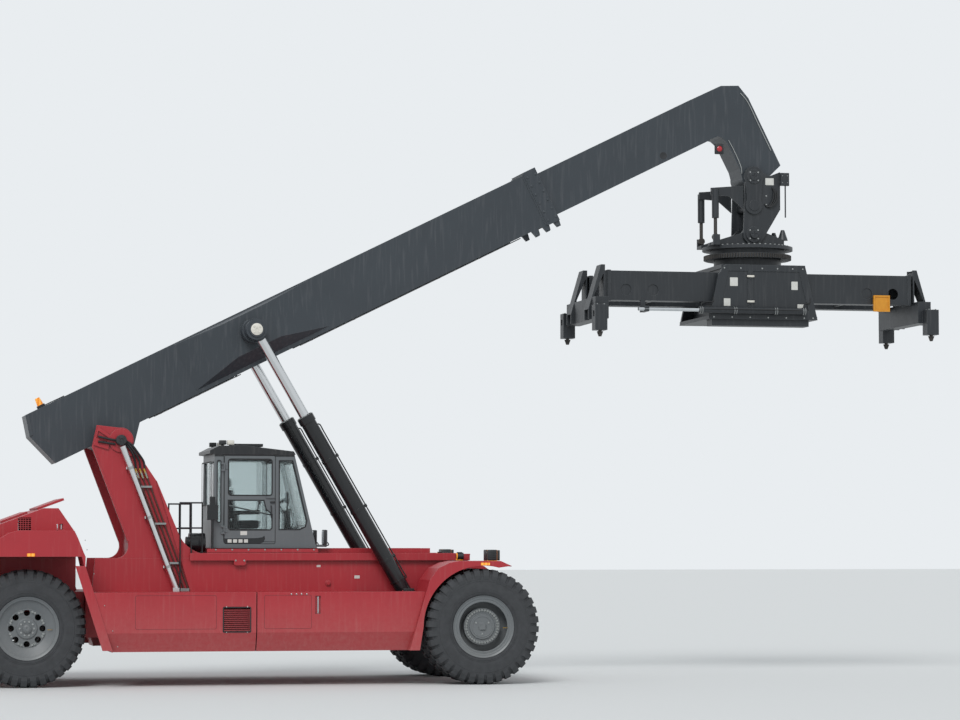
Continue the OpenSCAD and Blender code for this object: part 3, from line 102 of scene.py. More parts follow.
def sprayedEnamel(look):
    # Alkyd enamel sprayed on welded steel plate: satin, faded in patches, dusty low down, darkened with
    # painted shade in corners and recesses, rubbed pale along the plate edges, with rain streaks down the
    # upright faces.
    material, tree, shader, place = startMaterial(look["name"])
    at = addNode(tree, "ShaderNodeSeparateXYZ", {"Vector": place})
    patches = addNode(tree, "ShaderNodeTexNoise", {"Vector": place, "Scale": perMetre(look["patchMm"]),
                                                   "Detail": 4.0, "Roughness": 0.6})
    paint = addNode(tree, "ShaderNodeMix", {"Factor": patches.outputs["Fac"], 6: linear(look["deep"]),
                                            7: linear(look["faded"])}, data_type="RGBA").outputs[2]
    if "roof" in look:
        # Upper part sprayed in a second colour, from a given height in metres
        upper = addNode(tree, "ShaderNodeMath", {0: at.outputs["Z"], 1: look["roofFrom"]},
                        operation="GREATER_THAN")
        paint = addNode(tree, "ShaderNodeMix", {"Factor": upper.outputs["Value"], 6: paint,
                                                7: linear(look["roof"])}, data_type="RGBA").outputs[2]
    streakPlace = addNode(tree, "ShaderNodeMapping", {"Vector": place, "Scale": (1.0, 1.0, 0.08)})
    streaks = addNode(tree, "ShaderNodeTexNoise", {"Vector": streakPlace.outputs["Vector"],
                                                   "Scale": perMetre(look["streakMm"]), "Detail": 3.0})
    streakBand = addNode(tree, "ShaderNodeMapRange", {"Value": streaks.outputs["Fac"], "From Min": 0.52,
                                                      "From Max": 0.75, "To Max": look["streak"]})
    # Painted shade: ambient occlusion darkens the paint towards a near-black colour in corners and recesses
    corners = addNode(tree, "ShaderNodeAmbientOcclusion", {"Distance": 0.12}, samples=4, only_local=True)
    paintedCornerShade = addNode(tree, "ShaderNodeMapRange", {"Value": corners.outputs["AO"], "From Min": 0.75,
                                                      "From Max": 0.2, "To Max": look["cornerShadeAmount"]})
    # Dust lies thick near the ground and thins out upwards
    low = addNode(tree, "ShaderNodeMapRange", {"Value": at.outputs["Z"], "From Min": look["dustTop"],
                                               "From Max": 0.2, "To Max": look["dustLow"]})
    mottle = addNode(tree, "ShaderNodeTexNoise", {"Vector": place, "Scale": perMetre(60), "Detail": 6.0,
                                                  "Roughness": 0.7})
    dusty = addNode(tree, "ShaderNodeMath", {0: low.outputs["Result"], 1: mottle.outputs["Fac"]},
                    operation="MULTIPLY")
    # Rounded plate edges, rubbed to a paler paint
    rounded = addNode(tree, "ShaderNodeBevel", {"Radius": look["edgeMm"] / 1000}, samples=4)
    plain = addNode(tree, "ShaderNodeNewGeometry")
    turned = addNode(tree, "ShaderNodeVectorMath", {0: rounded.outputs["Normal"], 1: plain.outputs["Normal"]},
                     operation="DOT_PRODUCT")
    edge = addNode(tree, "ShaderNodeMapRange", {"Value": turned.outputs["Value"], "From Min": 0.995,
                                                "From Max": 0.9, "To Max": look["edgeWear"]})
    broken = addNode(tree, "ShaderNodeMath", {0: edge.outputs["Result"], 1: mottle.outputs["Fac"]},
                     operation="MULTIPLY")
    # What lies on the paint: streaks underneath, painted shade in the corners, dust, then the rubbed edges on
    # top
    for cover, colour in ((streakBand.outputs["Result"], "dust"), (paintedCornerShade.outputs["Result"], "cornerShadeColour"),
                          (dusty.outputs["Value"], "dust"), (broken.outputs["Value"], "edge")):
        paint = addNode(tree, "ShaderNodeMix", {"Factor": cover, 6: paint, 7: linear(look[colour])},
                        data_type="RGBA").outputs[2]
    tree.links.new(paint, shader.inputs["Base Color"])
    gloss = addNode(tree, "ShaderNodeMapRange", {"Value": mottle.outputs["Fac"],
                                                 "To Min": look["roughness"] - 0.08,
                                                 "To Max": look["roughness"] + 0.12})
    tree.links.new(gloss.outputs["Result"], shader.inputs["Roughness"])
    peel = addNode(tree, "ShaderNodeTexNoise", {"Vector": place, "Scale": perMetre(look["peelMm"]),
                                                "Detail": 2.0})
    bump = addNode(tree, "ShaderNodeBump", {"Height": peel.outputs["Fac"], "Strength": look["peel"],
                                            "Distance": 0.002, "Normal": rounded.outputs["Normal"]})
    tree.links.new(bump.outputs["Normal"], shader.inputs["Normal"])
    shader.inputs["IOR"].default_value = 1.5
    return material


# Each enamel's darkest colour and its amount give the painted shade in its corners and recesses
enamelCommon = {"patchMm": 900, "streakMm": 45, "streak": 0.10, "dustTop": 1.5, "dustLow": 0.55, "cornerShadeAmount": 0.5,
                "cornerShadeColour": "#2A2220", "edgeMm": 9, "edgeWear": 0.8, "roughness": 0.42, "peelMm": 12,
                "peel": 0.12}
redEnamel = sprayedEnamel({**enamelCommon, "name": "alkydEnamelRed", "deep": "#98202A", "faded": "#AE2A33",
                           "dust": "#B58A84", "edge": "#D0777B"})
slateEnamel = sprayedEnamel({**enamelCommon, "name": "alkydEnamelSlate", "deep": "#2B3137",
                             "faded": "#363D43", "dust": "#77777A", "edge": "#7C8388", "cornerShadeColour": "#15171A",
                             "streak": 0.16})
# The spreader and its head: the same slate, darker with grease and years outside
spreaderEnamel = sprayedEnamel({**enamelCommon, "name": "alkydEnamelSlateGreasy", "deep": "#1F2327",
                                "faded": "#2A2E32", "dust": "#6A6A6A", "edge": "#6B7074", "cornerShadeColour": "#101214",
                                "streak": 0.14})
greyLook = {**enamelCommon, "name": "powderCoatGrey", "deep": "#585D60", "faded": "#666B6E",
            "dust": "#8C8A86", "edge": "#8D9295", "cornerShadeColour": "#26282A", "roughness": 0.38}
greyEnamel = sprayedEnamel(greyLook)
# The cab's shell: the same grey with a black roof band
cabEnamel = sprayedEnamel({**greyLook, "name": "powderCoatGreyBlackRoof", "roofFrom": 3.70,
                           "roof": "#1A1C1F"})
blackEnamel = sprayedEnamel({**enamelCommon, "name": "glossEnamelBlack", "deep": "#121416",
                             "faded": "#1B1D20", "dust": "#5B5854", "edge": "#3A3D40", "cornerShadeColour": "#0B0C0D",
                             "roughness": 0.22, "streak": 0.05})
print("enamels made")


def tyreRubber():
    # Vulcanised carbon-black rubber: dull, grey with dust on the side walls, darker where it was wiped
    material, tree, shader, place = startMaterial("vulcanisedRubber")
    mottle = addNode(tree, "ShaderNodeTexNoise", {"Vector": place, "Scale": perMetre(140), "Detail": 8.0,
                                                  "Roughness": 0.65})
    mix = addNode(tree, "ShaderNodeMix", {"Factor": mottle.outputs["Fac"], 6: linear("#242628"),
                                          7: linear("#45474A")}, data_type="RGBA")
    tree.links.new(mix.outputs[2], shader.inputs["Base Color"])
    grit = addNode(tree, "ShaderNodeTexNoise", {"Vector": place, "Scale": perMetre(9), "Detail": 3.0})
    bump = addNode(tree, "ShaderNodeBump",
                   {"Height": grit.outputs["Fac"], "Strength": 0.35, "Distance": 0.003})
    tree.links.new(bump.outputs["Normal"], shader.inputs["Normal"])
    shader.inputs["Roughness"].default_value = 0.82
    shader.inputs["IOR"].default_value = 1.52
    return material


def hardChrome():
    # Ground and hard-chromed piston rod: mirror-like, with faint rings from the grinding
    material, tree, shader, place = startMaterial("hardChromeSteel")
    film = addNode(tree, "ShaderNodeTexNoise", {"Vector": place, "Scale": perMetre(90), "Detail": 5.0})
    mix = addNode(tree, "ShaderNodeMix", {"Factor": film.outputs["Fac"], 6: linear("#B9BDC0"),
                                          7: linear("#DADDDF")}, data_type="RGBA")
    tree.links.new(mix.outputs[2], shader.inputs["Base Color"])
    gloss = addNode(tree, "ShaderNodeMapRange",
                    {"Value": film.outputs["Fac"], "To Min": 0.08, "To Max": 0.24})
    tree.links.new(gloss.outputs["Result"], shader.inputs["Roughness"])
    shader.inputs["Metallic"].default_value = 1.0
    return material


def castIron():
    # Sand-cast iron under thin black paint: rough, brown-grey, oily in patches
    material, tree, shader, place = startMaterial("sandCastIron")
    grains = addNode(tree, "ShaderNodeTexNoise", {"Vector": place, "Scale": perMetre(14), "Detail": 5.0})
    patches = addNode(tree, "ShaderNodeTexNoise", {"Vector": place, "Scale": perMetre(220), "Detail": 5.0})
    mix = addNode(tree, "ShaderNodeMix", {"Factor": patches.outputs["Fac"], 6: linear("#2A2B2C"),
                                          7: linear("#4F4A45")}, data_type="RGBA")
    tree.links.new(mix.outputs[2], shader.inputs["Base Color"])
    bump = addNode(tree, "ShaderNodeBump",
                   {"Height": grains.outputs["Fac"], "Strength": 0.5, "Distance": 0.003})
    tree.links.new(bump.outputs["Normal"], shader.inputs["Normal"])
    shader.inputs["Roughness"].default_value = 0.6
    shader.inputs["Metallic"].default_value = 0.3
    return material


def amberLens():
    # Injection-moulded polycarbonate lens: clear orange with a ribbed inside
    material, tree, shader, place = startMaterial("amberPolycarbonate")
    ribs = addNode(tree, "ShaderNodeTexWave", {"Vector": place, "Scale": perMetre(30) / math.tau})
    mix = addNode(tree, "ShaderNodeMix", {"Factor": ribs.outputs["Fac"], 6: linear("#E88512"),
                                          7: linear("#FFB347")}, data_type="RGBA")
    tree.links.new(mix.outputs[2], shader.inputs["Base Color"])
    tree.links.new(mix.outputs[2], shader.inputs["Emission Color"])
    shader.inputs["Emission Strength"].default_value = 0.25
    shader.inputs["Roughness"].default_value = 0.12
    shader.inputs["IOR"].default_value = 1.585
    return material


def tintedGlass():
    # Float glass with a grey-green tint, slightly dusty
    material, tree, shader, place = startMaterial("tintedFloatGlass")
    film = addNode(tree, "ShaderNodeTexNoise", {"Vector": place, "Scale": perMetre(260), "Detail": 4.0})
    gloss = addNode(tree, "ShaderNodeMapRange",
                    {"Value": film.outputs["Fac"], "To Min": 0.01, "To Max": 0.06})
    tree.links.new(gloss.outputs["Result"], shader.inputs["Roughness"])
    shader.inputs["Base Color"].default_value = linear("#AEBFBF")
    shader.inputs["Transmission Weight"].default_value = 1.0
    shader.inputs["Alpha"].default_value = 0.55
    shader.inputs["IOR"].default_value = 1.45
    return material


def grainy(look):
    # One finish with its own mottling, gloss and fine relief, each from a size in millimetres
    material, tree, shader, place = startMaterial(look["name"])
    mottle = addNode(tree, "ShaderNodeTexNoise",
                     {"Vector": place, "Scale": perMetre(look["mottleMm"]), "Detail": 5.0,
                      "Roughness": 0.6})
    mix = addNode(tree, "ShaderNodeMix", {"Factor": mottle.outputs["Fac"], 6: linear(look["dark"]),
                                          7: linear(look["light"])}, data_type="RGBA")
    tree.links.new(mix.outputs[2], shader.inputs["Base Color"])
    gloss = addNode(tree, "ShaderNodeMapRange",
                    {"Value": mottle.outputs["Fac"], "To Min": look["roughness"] - 0.07,
                     "To Max": look["roughness"] + 0.09})
    tree.links.new(gloss.outputs["Result"], shader.inputs["Roughness"])
    relief = addNode(tree, "ShaderNodeTexNoise",
                     {"Vector": place, "Scale": perMetre(look["reliefMm"]), "Detail": 3.0})
    bump = addNode(tree, "ShaderNodeBump", {"Height": relief.outputs["Fac"], "Strength": look["relief"],
                                            "Distance": 0.001})
    tree.links.new(bump.outputs["Normal"], shader.inputs["Normal"])
    shader.inputs["Metallic"].default_value = look.get("metal", 0.0)
    if not look.get("metal"):
        shader.inputs["IOR"].default_value = look.get("ior", 1.5)
    return material


bundleSetup = {"lean": 0.3814, "from": -3.683, "unionsAbove": 3.335, "clampsOutside": 0.766}    # metres


def pipeBundle():
    # Hard chromed pipe beside the tower; the bundle right of it is drawn steel in brown primer, with brass
    # unions at its top and zinc-plated clamps across it. Each is told by its place.
    material, tree, shader, place = startMaterial("towerPipeBundle")
    at = addNode(tree, "ShaderNodeSeparateXYZ", {"Vector": place})
    mottle = addNode(tree, "ShaderNodeTexNoise", {"Vector": place, "Scale": perMetre(40), "Detail": 5.0})
    lean = addNode(tree, "ShaderNodeMath", {0: at.outputs["Z"], 1: bundleSetup["lean"], 2: at.outputs["X"]},
                   operation="MULTIPLY_ADD")
    bundle = addNode(tree, "ShaderNodeMath", {0: lean.outputs["Value"], 1: bundleSetup["from"]},
                     operation="GREATER_THAN")
    union = addNode(tree, "ShaderNodeMath", {0: at.outputs["Z"], 1: bundleSetup["unionsAbove"]},
                    operation="GREATER_THAN")
    across = addNode(tree, "ShaderNodeMath", {0: at.outputs["Y"]}, operation="ABSOLUTE")
    clamp = addNode(tree, "ShaderNodeMath", {0: across.outputs["Value"], 1: bundleSetup["clampsOutside"]},
                    operation="GREATER_THAN")

    tones = {}
    for coat, dark, light in (("chrome", "#C9CBCC", "#DADBDB"), ("primer", "#3A211D", "#563029"),
                              ("brass", "#8E6B2C", "#D2AE62"), ("zinc", "#7C7F80", "#A9ABA9")):
        tones[coat] = addNode(tree, "ShaderNodeMix", {"Factor": mottle.outputs["Fac"], 6: linear(dark),
                                                      7: linear(light)}, data_type="RGBA").outputs[2]
    colour = tones["primer"]
    for mask, coat in ((union, "brass"), (clamp, "zinc")):
        colour = addNode(tree, "ShaderNodeMix", {"Factor": mask.outputs["Value"], 6: colour,
                                                 7: tones[coat]}, data_type="RGBA").outputs[2]
    colour = addNode(tree, "ShaderNodeMix",
                     {"Factor": bundle.outputs["Value"], 6: tones["chrome"], 7: colour},
                     data_type="RGBA").outputs[2]
    tree.links.new(colour, shader.inputs["Base Color"])
    plated = addNode(tree, "ShaderNodeMath", {0: union.outputs["Value"], 1: clamp.outputs["Value"]},
                     operation="MAXIMUM")
    bare = addNode(tree, "ShaderNodeMath", {0: 1.0, 1: bundle.outputs["Value"]}, operation="SUBTRACT")
    metal = addNode(tree, "ShaderNodeMath", {0: plated.outputs["Value"], 1: bare.outputs["Value"]},
                    operation="MAXIMUM")
    tree.links.new(metal.outputs["Value"], shader.inputs["Metallic"])
    gloss = addNode(tree, "ShaderNodeMapRange",
                    {"Value": metal.outputs["Value"], "To Min": 0.5, "To Max": 0.2})
    tree.links.new(gloss.outputs["Result"], shader.inputs["Roughness"])
    return material


towerPipe = pipeBundle()


eyeSetup = {"middle": (-3.0614, 0.0, 5.7684), "reach": 0.2}    # metres, shared frame


def rodWithPaintedEye():
    # Hard chromed piston rod; its forged eye round the pin is painted slate
    material, tree, shader, place = startMaterial("pistonRodPaintedEye")
    at = addNode(tree, "ShaderNodeSeparateXYZ", {"Vector": place})
    flat = addNode(tree, "ShaderNodeCombineXYZ", {"X": at.outputs["X"], "Z": at.outputs["Z"]})
    reach = addNode(tree, "ShaderNodeVectorMath", {0: flat.outputs["Vector"], 1: eyeSetup["middle"]},
                    operation="DISTANCE")
    shaft = addNode(tree, "ShaderNodeMath", {0: reach.outputs["Value"], 1: eyeSetup["reach"]},
                    operation="GREATER_THAN")
    mottle = addNode(tree, "ShaderNodeTexNoise", {"Vector": place, "Scale": perMetre(70), "Detail": 4.0})
    paint = addNode(tree, "ShaderNodeMix", {"Factor": mottle.outputs["Fac"], 6: linear("#2B3137"),
                                            7: linear("#3A4148")}, data_type="RGBA")
    colour = addNode(tree, "ShaderNodeMix", {"Factor": shaft.outputs["Value"], 6: paint.outputs[2],
                                             7: linear("#D2D4D5")}, data_type="RGBA")
    tree.links.new(colour.outputs[2], shader.inputs["Base Color"])
    tree.links.new(shaft.outputs["Value"], shader.inputs["Metallic"])
    gloss = addNode(tree, "ShaderNodeMapRange",
                    {"Value": shaft.outputs["Value"], "To Min": 0.42, "To Max": 0.14})
    tree.links.new(gloss.outputs["Result"], shader.inputs["Roughness"])
    return material


paintedEyeRod = rodWithPaintedEye()
# Yellow powder coat on cast aluminium lamp housing
yellowCoat = grainy({"name": "powderCoatYellow", "dark": "#B9791B", "light": "#E09B28", "mottleMm": 90,
                     "roughness": 0.48, "reliefMm": 6, "relief": 0.3, "ior": 1.5})
# Zinc-plated steel bolts: pale, slightly yellow, dulled by handling
zinc = grainy({"name": "zincPlatedSteel", "dark": "#8C8F90", "light": "#BFC1BE", "mottleMm": 18,
               "roughness": 0.34, "reliefMm": 5, "relief": 0.2, "metal": 1.0})
# Drawn brass hose fittings: yellow, with a brown film in the hollows
brass = grainy({"name": "drawnBrass", "dark": "#8E6B2C", "light": "#D2AE62", "mottleMm": 22, "roughness": 0.3,
                "reliefMm": 6, "relief": 0.15, "metal": 1.0})
# Nitrile rubber hose cover and extruded window rubber: dull black, wrapped texture
hoseRubber = grainy({"name": "nitrileHoseCover", "dark": "#101113", "light": "#232527", "mottleMm": 30,
                     "roughness": 0.66, "reliefMm": 3, "relief": 0.4, "ior": 1.52})
# Injection-moulded ABS housings: fine spark-eroded grain
blackPlastic = grainy({"name": "mouldedAbsBlack", "dark": "#15171A", "light": "#24272A", "mottleMm": 60,
                       "roughness": 0.5, "reliefMm": 2, "relief": 0.3, "ior": 1.54})
palePlastic = grainy({"name": "mouldedAbsPale", "dark": "#C4C0B4", "light": "#E6E4DC", "mottleMm": 60,
                      "roughness": 0.45, "reliefMm": 2, "relief": 0.25, "ior": 1.54})
# Blank polyester marking plates: flat pale film, yellowed at places
plateFilm = grainy({"name": "polyesterPlateFilm", "dark": "#B9B9B2", "light": "#DADAD6", "mottleMm": 40,
                    "roughness": 0.38, "reliefMm": 4, "relief": 0.1, "ior": 1.57})
# Silvered mirror glass
mirrorGlass = grainy({"name": "silveredGlass", "dark": "#C5CBD0", "light": "#DDE2E6", "mottleMm": 200,
                      "roughness": 0.09, "reliefMm": 60, "relief": 0.02, "metal": 1.0})
# Moulded polycarbonate lenses: clear over a bright reflector, and deep red
clearLens = grainy({"name": "clearPolycarbonate", "dark": "#B9C0C6", "light": "#E4E8EB", "mottleMm": 14,
                    "roughness": 0.16, "reliefMm": 10, "relief": 0.5, "ior": 1.585})
redLens = grainy({"name": "redPolycarbonate", "dark": "#8E1720", "light": "#C9303A", "mottleMm": 16,
                  "roughness": 0.16, "reliefMm": 10, "relief": 0.5, "ior": 1.585})
print("plastics, rubbers, plates and fittings made")

rubber = tyreRubber()
chrome = hardChrome()
iron = castIron()
amber = amberLens()
glass = tintedGlass()
print("metals, rubber, lens and glass made")

# Which finish each carried-over piece gets
finishOf = {
    "chassis_frame": redEnamel, "tower": redEnamel, "side_boxes": redEnamel, "hood": redEnamel,
    "counterweight": redEnamel, "fenders": redEnamel, "front_axle": iron, "rear_axle": iron,
    "engine_block": iron, "handrails": blackEnamel, "tower_pipes": towerPipe, "lamps": amber,
    "cab_shell": cabEnamel, "cab_glass": glass, "cab_seat": blackEnamel, "door_frame": greyEnamel,
    "door_glass": glass, "boom_outer": slateEnamel, "beacon": amber, "boom_inner": slateEnamel,
    "cab_controls": blackEnamel, "flood_lamp": yellowCoat,
    "head_link": spreaderEnamel, "damper_rods": iron, "slew_platform": spreaderEnamel,
            "carriage": spreaderEnamel,
    "main_tubes": spreaderEnamel, "beam_front": spreaderEnamel, "beam_rear": spreaderEnamel,
}
finishStarts = {"tyre": rubber, "rim": greyEnamel, "lift_barrel": blackEnamel, "lift_rod": paintedEyeRod,
                "twistlock": iron, "knuckle": iron}
for name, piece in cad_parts.items():
    finish = finishOf.get(name) or next(m for start, m in finishStarts.items() if name.startswith(start))
    for materialSlot in piece.material_slots:
        materialSlot.material = finish
print("finishes on", len(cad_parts), "nodes")

# Shapes: every piece is drawn in millimetres from the middle of the drive axle, as the drawing has it

machine = {
    "originShift": 521.15,            # from the drive axle to the shared origin, along X
    "pivot": (-5750, 3950), "boomAngle": 26.4, "boomHigh": 1045, "collar": 8350, "head": (5126.2, 8578.65),
    "pin": (-3582.5, 5768.4), "foot": (-1040, 1380), "liftTilt": 30.0864, "liftSide": 1000,
    "barrelLength": 3440, "barrelRadius": 125, "wheelHeight": 935, "wheelbase": 7300,
    # Upright faces that small pieces stand on, as distances from the middle plane
    "towerFace": 760, "spineFace": 840, "boxFace": 1980, "cabFace": 720,
}


def frameAt(x, y, z, tilt=0.0):
    # A place on the machine with its X axis raised by tilt degrees
    return Matrix.Translation((x, y, z)) @ Matrix.Rotation(math.radians(-tilt), 4, "Y")


mirrored = Matrix.Scale(-1, 4, (0, 1, 0))
ground = Matrix.Identity(4)
boomFrame = frameAt(machine["pivot"][0], 0, machine["pivot"][1], machine["boomAngle"])
headFrame = frameAt(machine["head"][0], 0, machine["head"][1])
# Places for outlines: x, z of the side view, out to -Y; y, z of the front view, out to +X or to -X
facingRight = Matrix(((1, 0, 0, 0), (0, 0, -1, 0), (0, 1, 0, 0), (0, 0, 0, 1)))
facingFront = Matrix(((0, 0, 1, 0), (1, 0, 0, 0), (0, 1, 0, 0), (0, 0, 0, 1)))
facingBack = Matrix.Scale(-1, 4, (1, 0, 0)) @ facingFront
# Both sides of the machine: name, sign of Y, and the side view that faces out there
bothSides = (("left", 1, mirrored @ facingRight), ("right", -1, facingRight))


def addTurned(mesh, profile, place=ground, steps=32, closed=False):
    # Profile points are radius and height about the local Z axis
    rings = []
    for radius, height in profile:
        if radius < 1e-6:
            rings.append([mesh.verts.new(place @ Vector((0, 0, height)))])
            continue
        rings.append([mesh.verts.new(place @ Vector((radius * math.cos(math.tau * i / steps),
                                                     radius * math.sin(math.tau * i / steps), height)))
                      for i in range(steps)])
    pairs = list(zip(rings, rings[1:]))
    if closed:
        pairs.append((rings[-1], rings[0]))
    for lower, upper in pairs:
        for i in range(steps):
            j = (i + 1) % steps
            corners = [lower[i % len(lower)], lower[j % len(lower)], upper[j % len(upper)],
                       upper[i % len(upper)]]
            kept = [c for k, c in enumerate(corners) if c not in corners[:k]]
            if len(kept) > 2:
                mesh.faces.new(kept)


def addPrism(mesh, outline, low, high, place=ground):
    lower = [mesh.verts.new(place @ Vector((x, y, low))) for x, y in outline]
    upper = [mesh.verts.new(place @ Vector((x, y, high))) for x, y in outline]
    count = len(outline)
    mesh.faces.new(lower[::-1])
    mesh.faces.new(upper)
    for i in range(count):
        j = (i + 1) % count
        mesh.faces.new((lower[i], lower[j], upper[j], upper[i]))


def addBox(mesh, low, high, round_=2.0, place=ground):
    # A box with rounded edges
    centre = [(a + b) / 2 for a, b in zip(low, high)]
    size = [b - a for a, b in zip(low, high)]
    made = bmesh.ops.create_cube(mesh, size=1.0,
                                 matrix=place @ Matrix.Translation(centre) @ Matrix.Diagonal((*size, 1)))
    edges = list({edge for vert in made["verts"] for edge in vert.link_edges})
    bmesh.ops.bevel(mesh, geom=edges, offset=round_, segments=2, profile=0.5, affect="EDGES",
                    clamp_overlap=True)


def softPath(points, perSpan=6):
    # A smooth curve through the points
    path = []
    for i in range(len(points) - 1):
        a, b, c, d = (Vector(points[max(0, min(len(points) - 1, k))]) for k in (i - 1, i, i + 1, i + 2))
        for step in range(perSpan):
            t = step / perSpan
            path.append(0.5 * (2 * b + (c - a) * t + (2 * a - 5 * b + 4 * c - d) * t ** 2
                               + (3 * b - a - 3 * c + d) * t ** 3))
    return path + [Vector(points[-1])]


def addTube(mesh, path, radius, place=ground, sides=10):
    # A round tube along a path, with closed ends
    path = [Vector(p) for p in path]
    across = (path[1] - path[0]).orthogonal().normalized()
    rings = []
    for i, point in enumerate(path):
        along = (path[min(i + 1, len(path) - 1)] - path[max(i - 1, 0)]).normalized()
        across = (across - along * across.dot(along)).normalized()
        other = along.cross(across)
        rings.append([mesh.verts.new(place @ (point + radius * (across * math.cos(math.tau * k / sides)
                                                                + other * math.sin(math.tau * k / sides))))
                      for k in range(sides)])
    for lower, upper in zip(rings, rings[1:]):
        for k in range(sides):
            mesh.faces.new((lower[k], lower[(k + 1) % sides], upper[(k + 1) % sides], upper[k]))
    mesh.faces.new(rings[0][::-1])
    mesh.faces.new(rings[-1])


def roundedOutline(x0, y0, x1, y1, radius, steps=5):
    outline = []
    for cx, cy, start in ((x1 - radius, y0 + radius, -90), (x1 - radius, y1 - radius, 0),
                          (x0 + radius, y1 - radius, 90), (x0 + radius, y0 + radius, 180)):
        for k in range(steps + 1):
            angle = math.radians(start + 90 * k / steps)
            outline.append((cx + radius * math.cos(angle), cy + radius * math.sin(angle)))
    return outline


def addBand(mesh, outline, inward, outward, low, high, place=ground):
    # A flat band round a closed outline, as a window's rubber lies
    count = len(outline)
    area = sum(outline[i][0] * outline[(i + 1) % count][1] - outline[(i + 1) % count][0] * outline[i][1]
               for i in range(count))
    rings = [[], [], [], []]
    for i in range(count):
        before, here, after = (Vector(outline[(i + k) % count]) for k in (-1, 0, 1))
        first, second = (here - before).normalized(), (after - here).normalized()
        normal = Vector((first.y + second.y, -first.x - second.x)).normalized() * (1 if area > 0 else -1)
        stretch = 1 / max(0.5, abs(normal.dot(Vector((first.y, -first.x)))))
        inner, outer = here - normal * inward * stretch, here + normal * outward * stretch
        for ring, (point, height) in zip(rings, ((inner, low), (outer, low), (outer, high), (inner, high))):
            ring.append(mesh.verts.new(place @ Vector((point.x, point.y, height))))
    for lower, upper in zip(rings, rings[1:] + rings[:1]):
        for i in range(count):
            mesh.faces.new((lower[i], lower[(i + 1) % count], upper[(i + 1) % count], upper[i]))


def addBolt(mesh, place, across=30.0, height=18.0):
    # Hexagon head on a washer, standing on the local XY plane
    half = across / math.sqrt(3)
    addTurned(mesh, [(half * 1.15, 0), (half * 1.15, height * 0.15), (0, height * 0.15)], place, steps=12)
    addTurned(mesh, [(half, height * 0.15), (half, height * 0.9), (half * 0.85, height), (0, height)], place,
              steps=6)


def ringOf(count, radius, height, start=0.0):
    # Places round the local Z axis, at one radius and height, from a first angle in degrees
    return [Matrix.Rotation(math.radians(start + 360 * i / count), 4,
                            "Z") @ Matrix.Translation((radius, 0, height))
            for i in range(count)]


def finishPiece(mesh, name, body, material, place=ground, crease=32.0):
    # Turns millimetres from the drive axle into the shared frame, and lets the piece ride on its body
    toShared = Matrix.Scale(0.001, 4) @ Matrix.Translation((machine["originShift"], 0, 0)) @ place
    bmesh.ops.transform(mesh, matrix=toShared, verts=mesh.verts)
    bmesh.ops.recalc_face_normals(mesh, faces=mesh.faces)
    data = bpy.data.meshes.new(name)
    mesh.to_mesh(data)
    mesh.free()
    data.shade_smooth()
    data.set_sharp_from_angle(angle=math.radians(crease))
    piece = bpy.data.objects.new(name, data)
    scene.collection.objects.link(piece)
    data.materials.append(material)
    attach(piece, body)
    return piece


print("shape helpers ready")

# Wheels

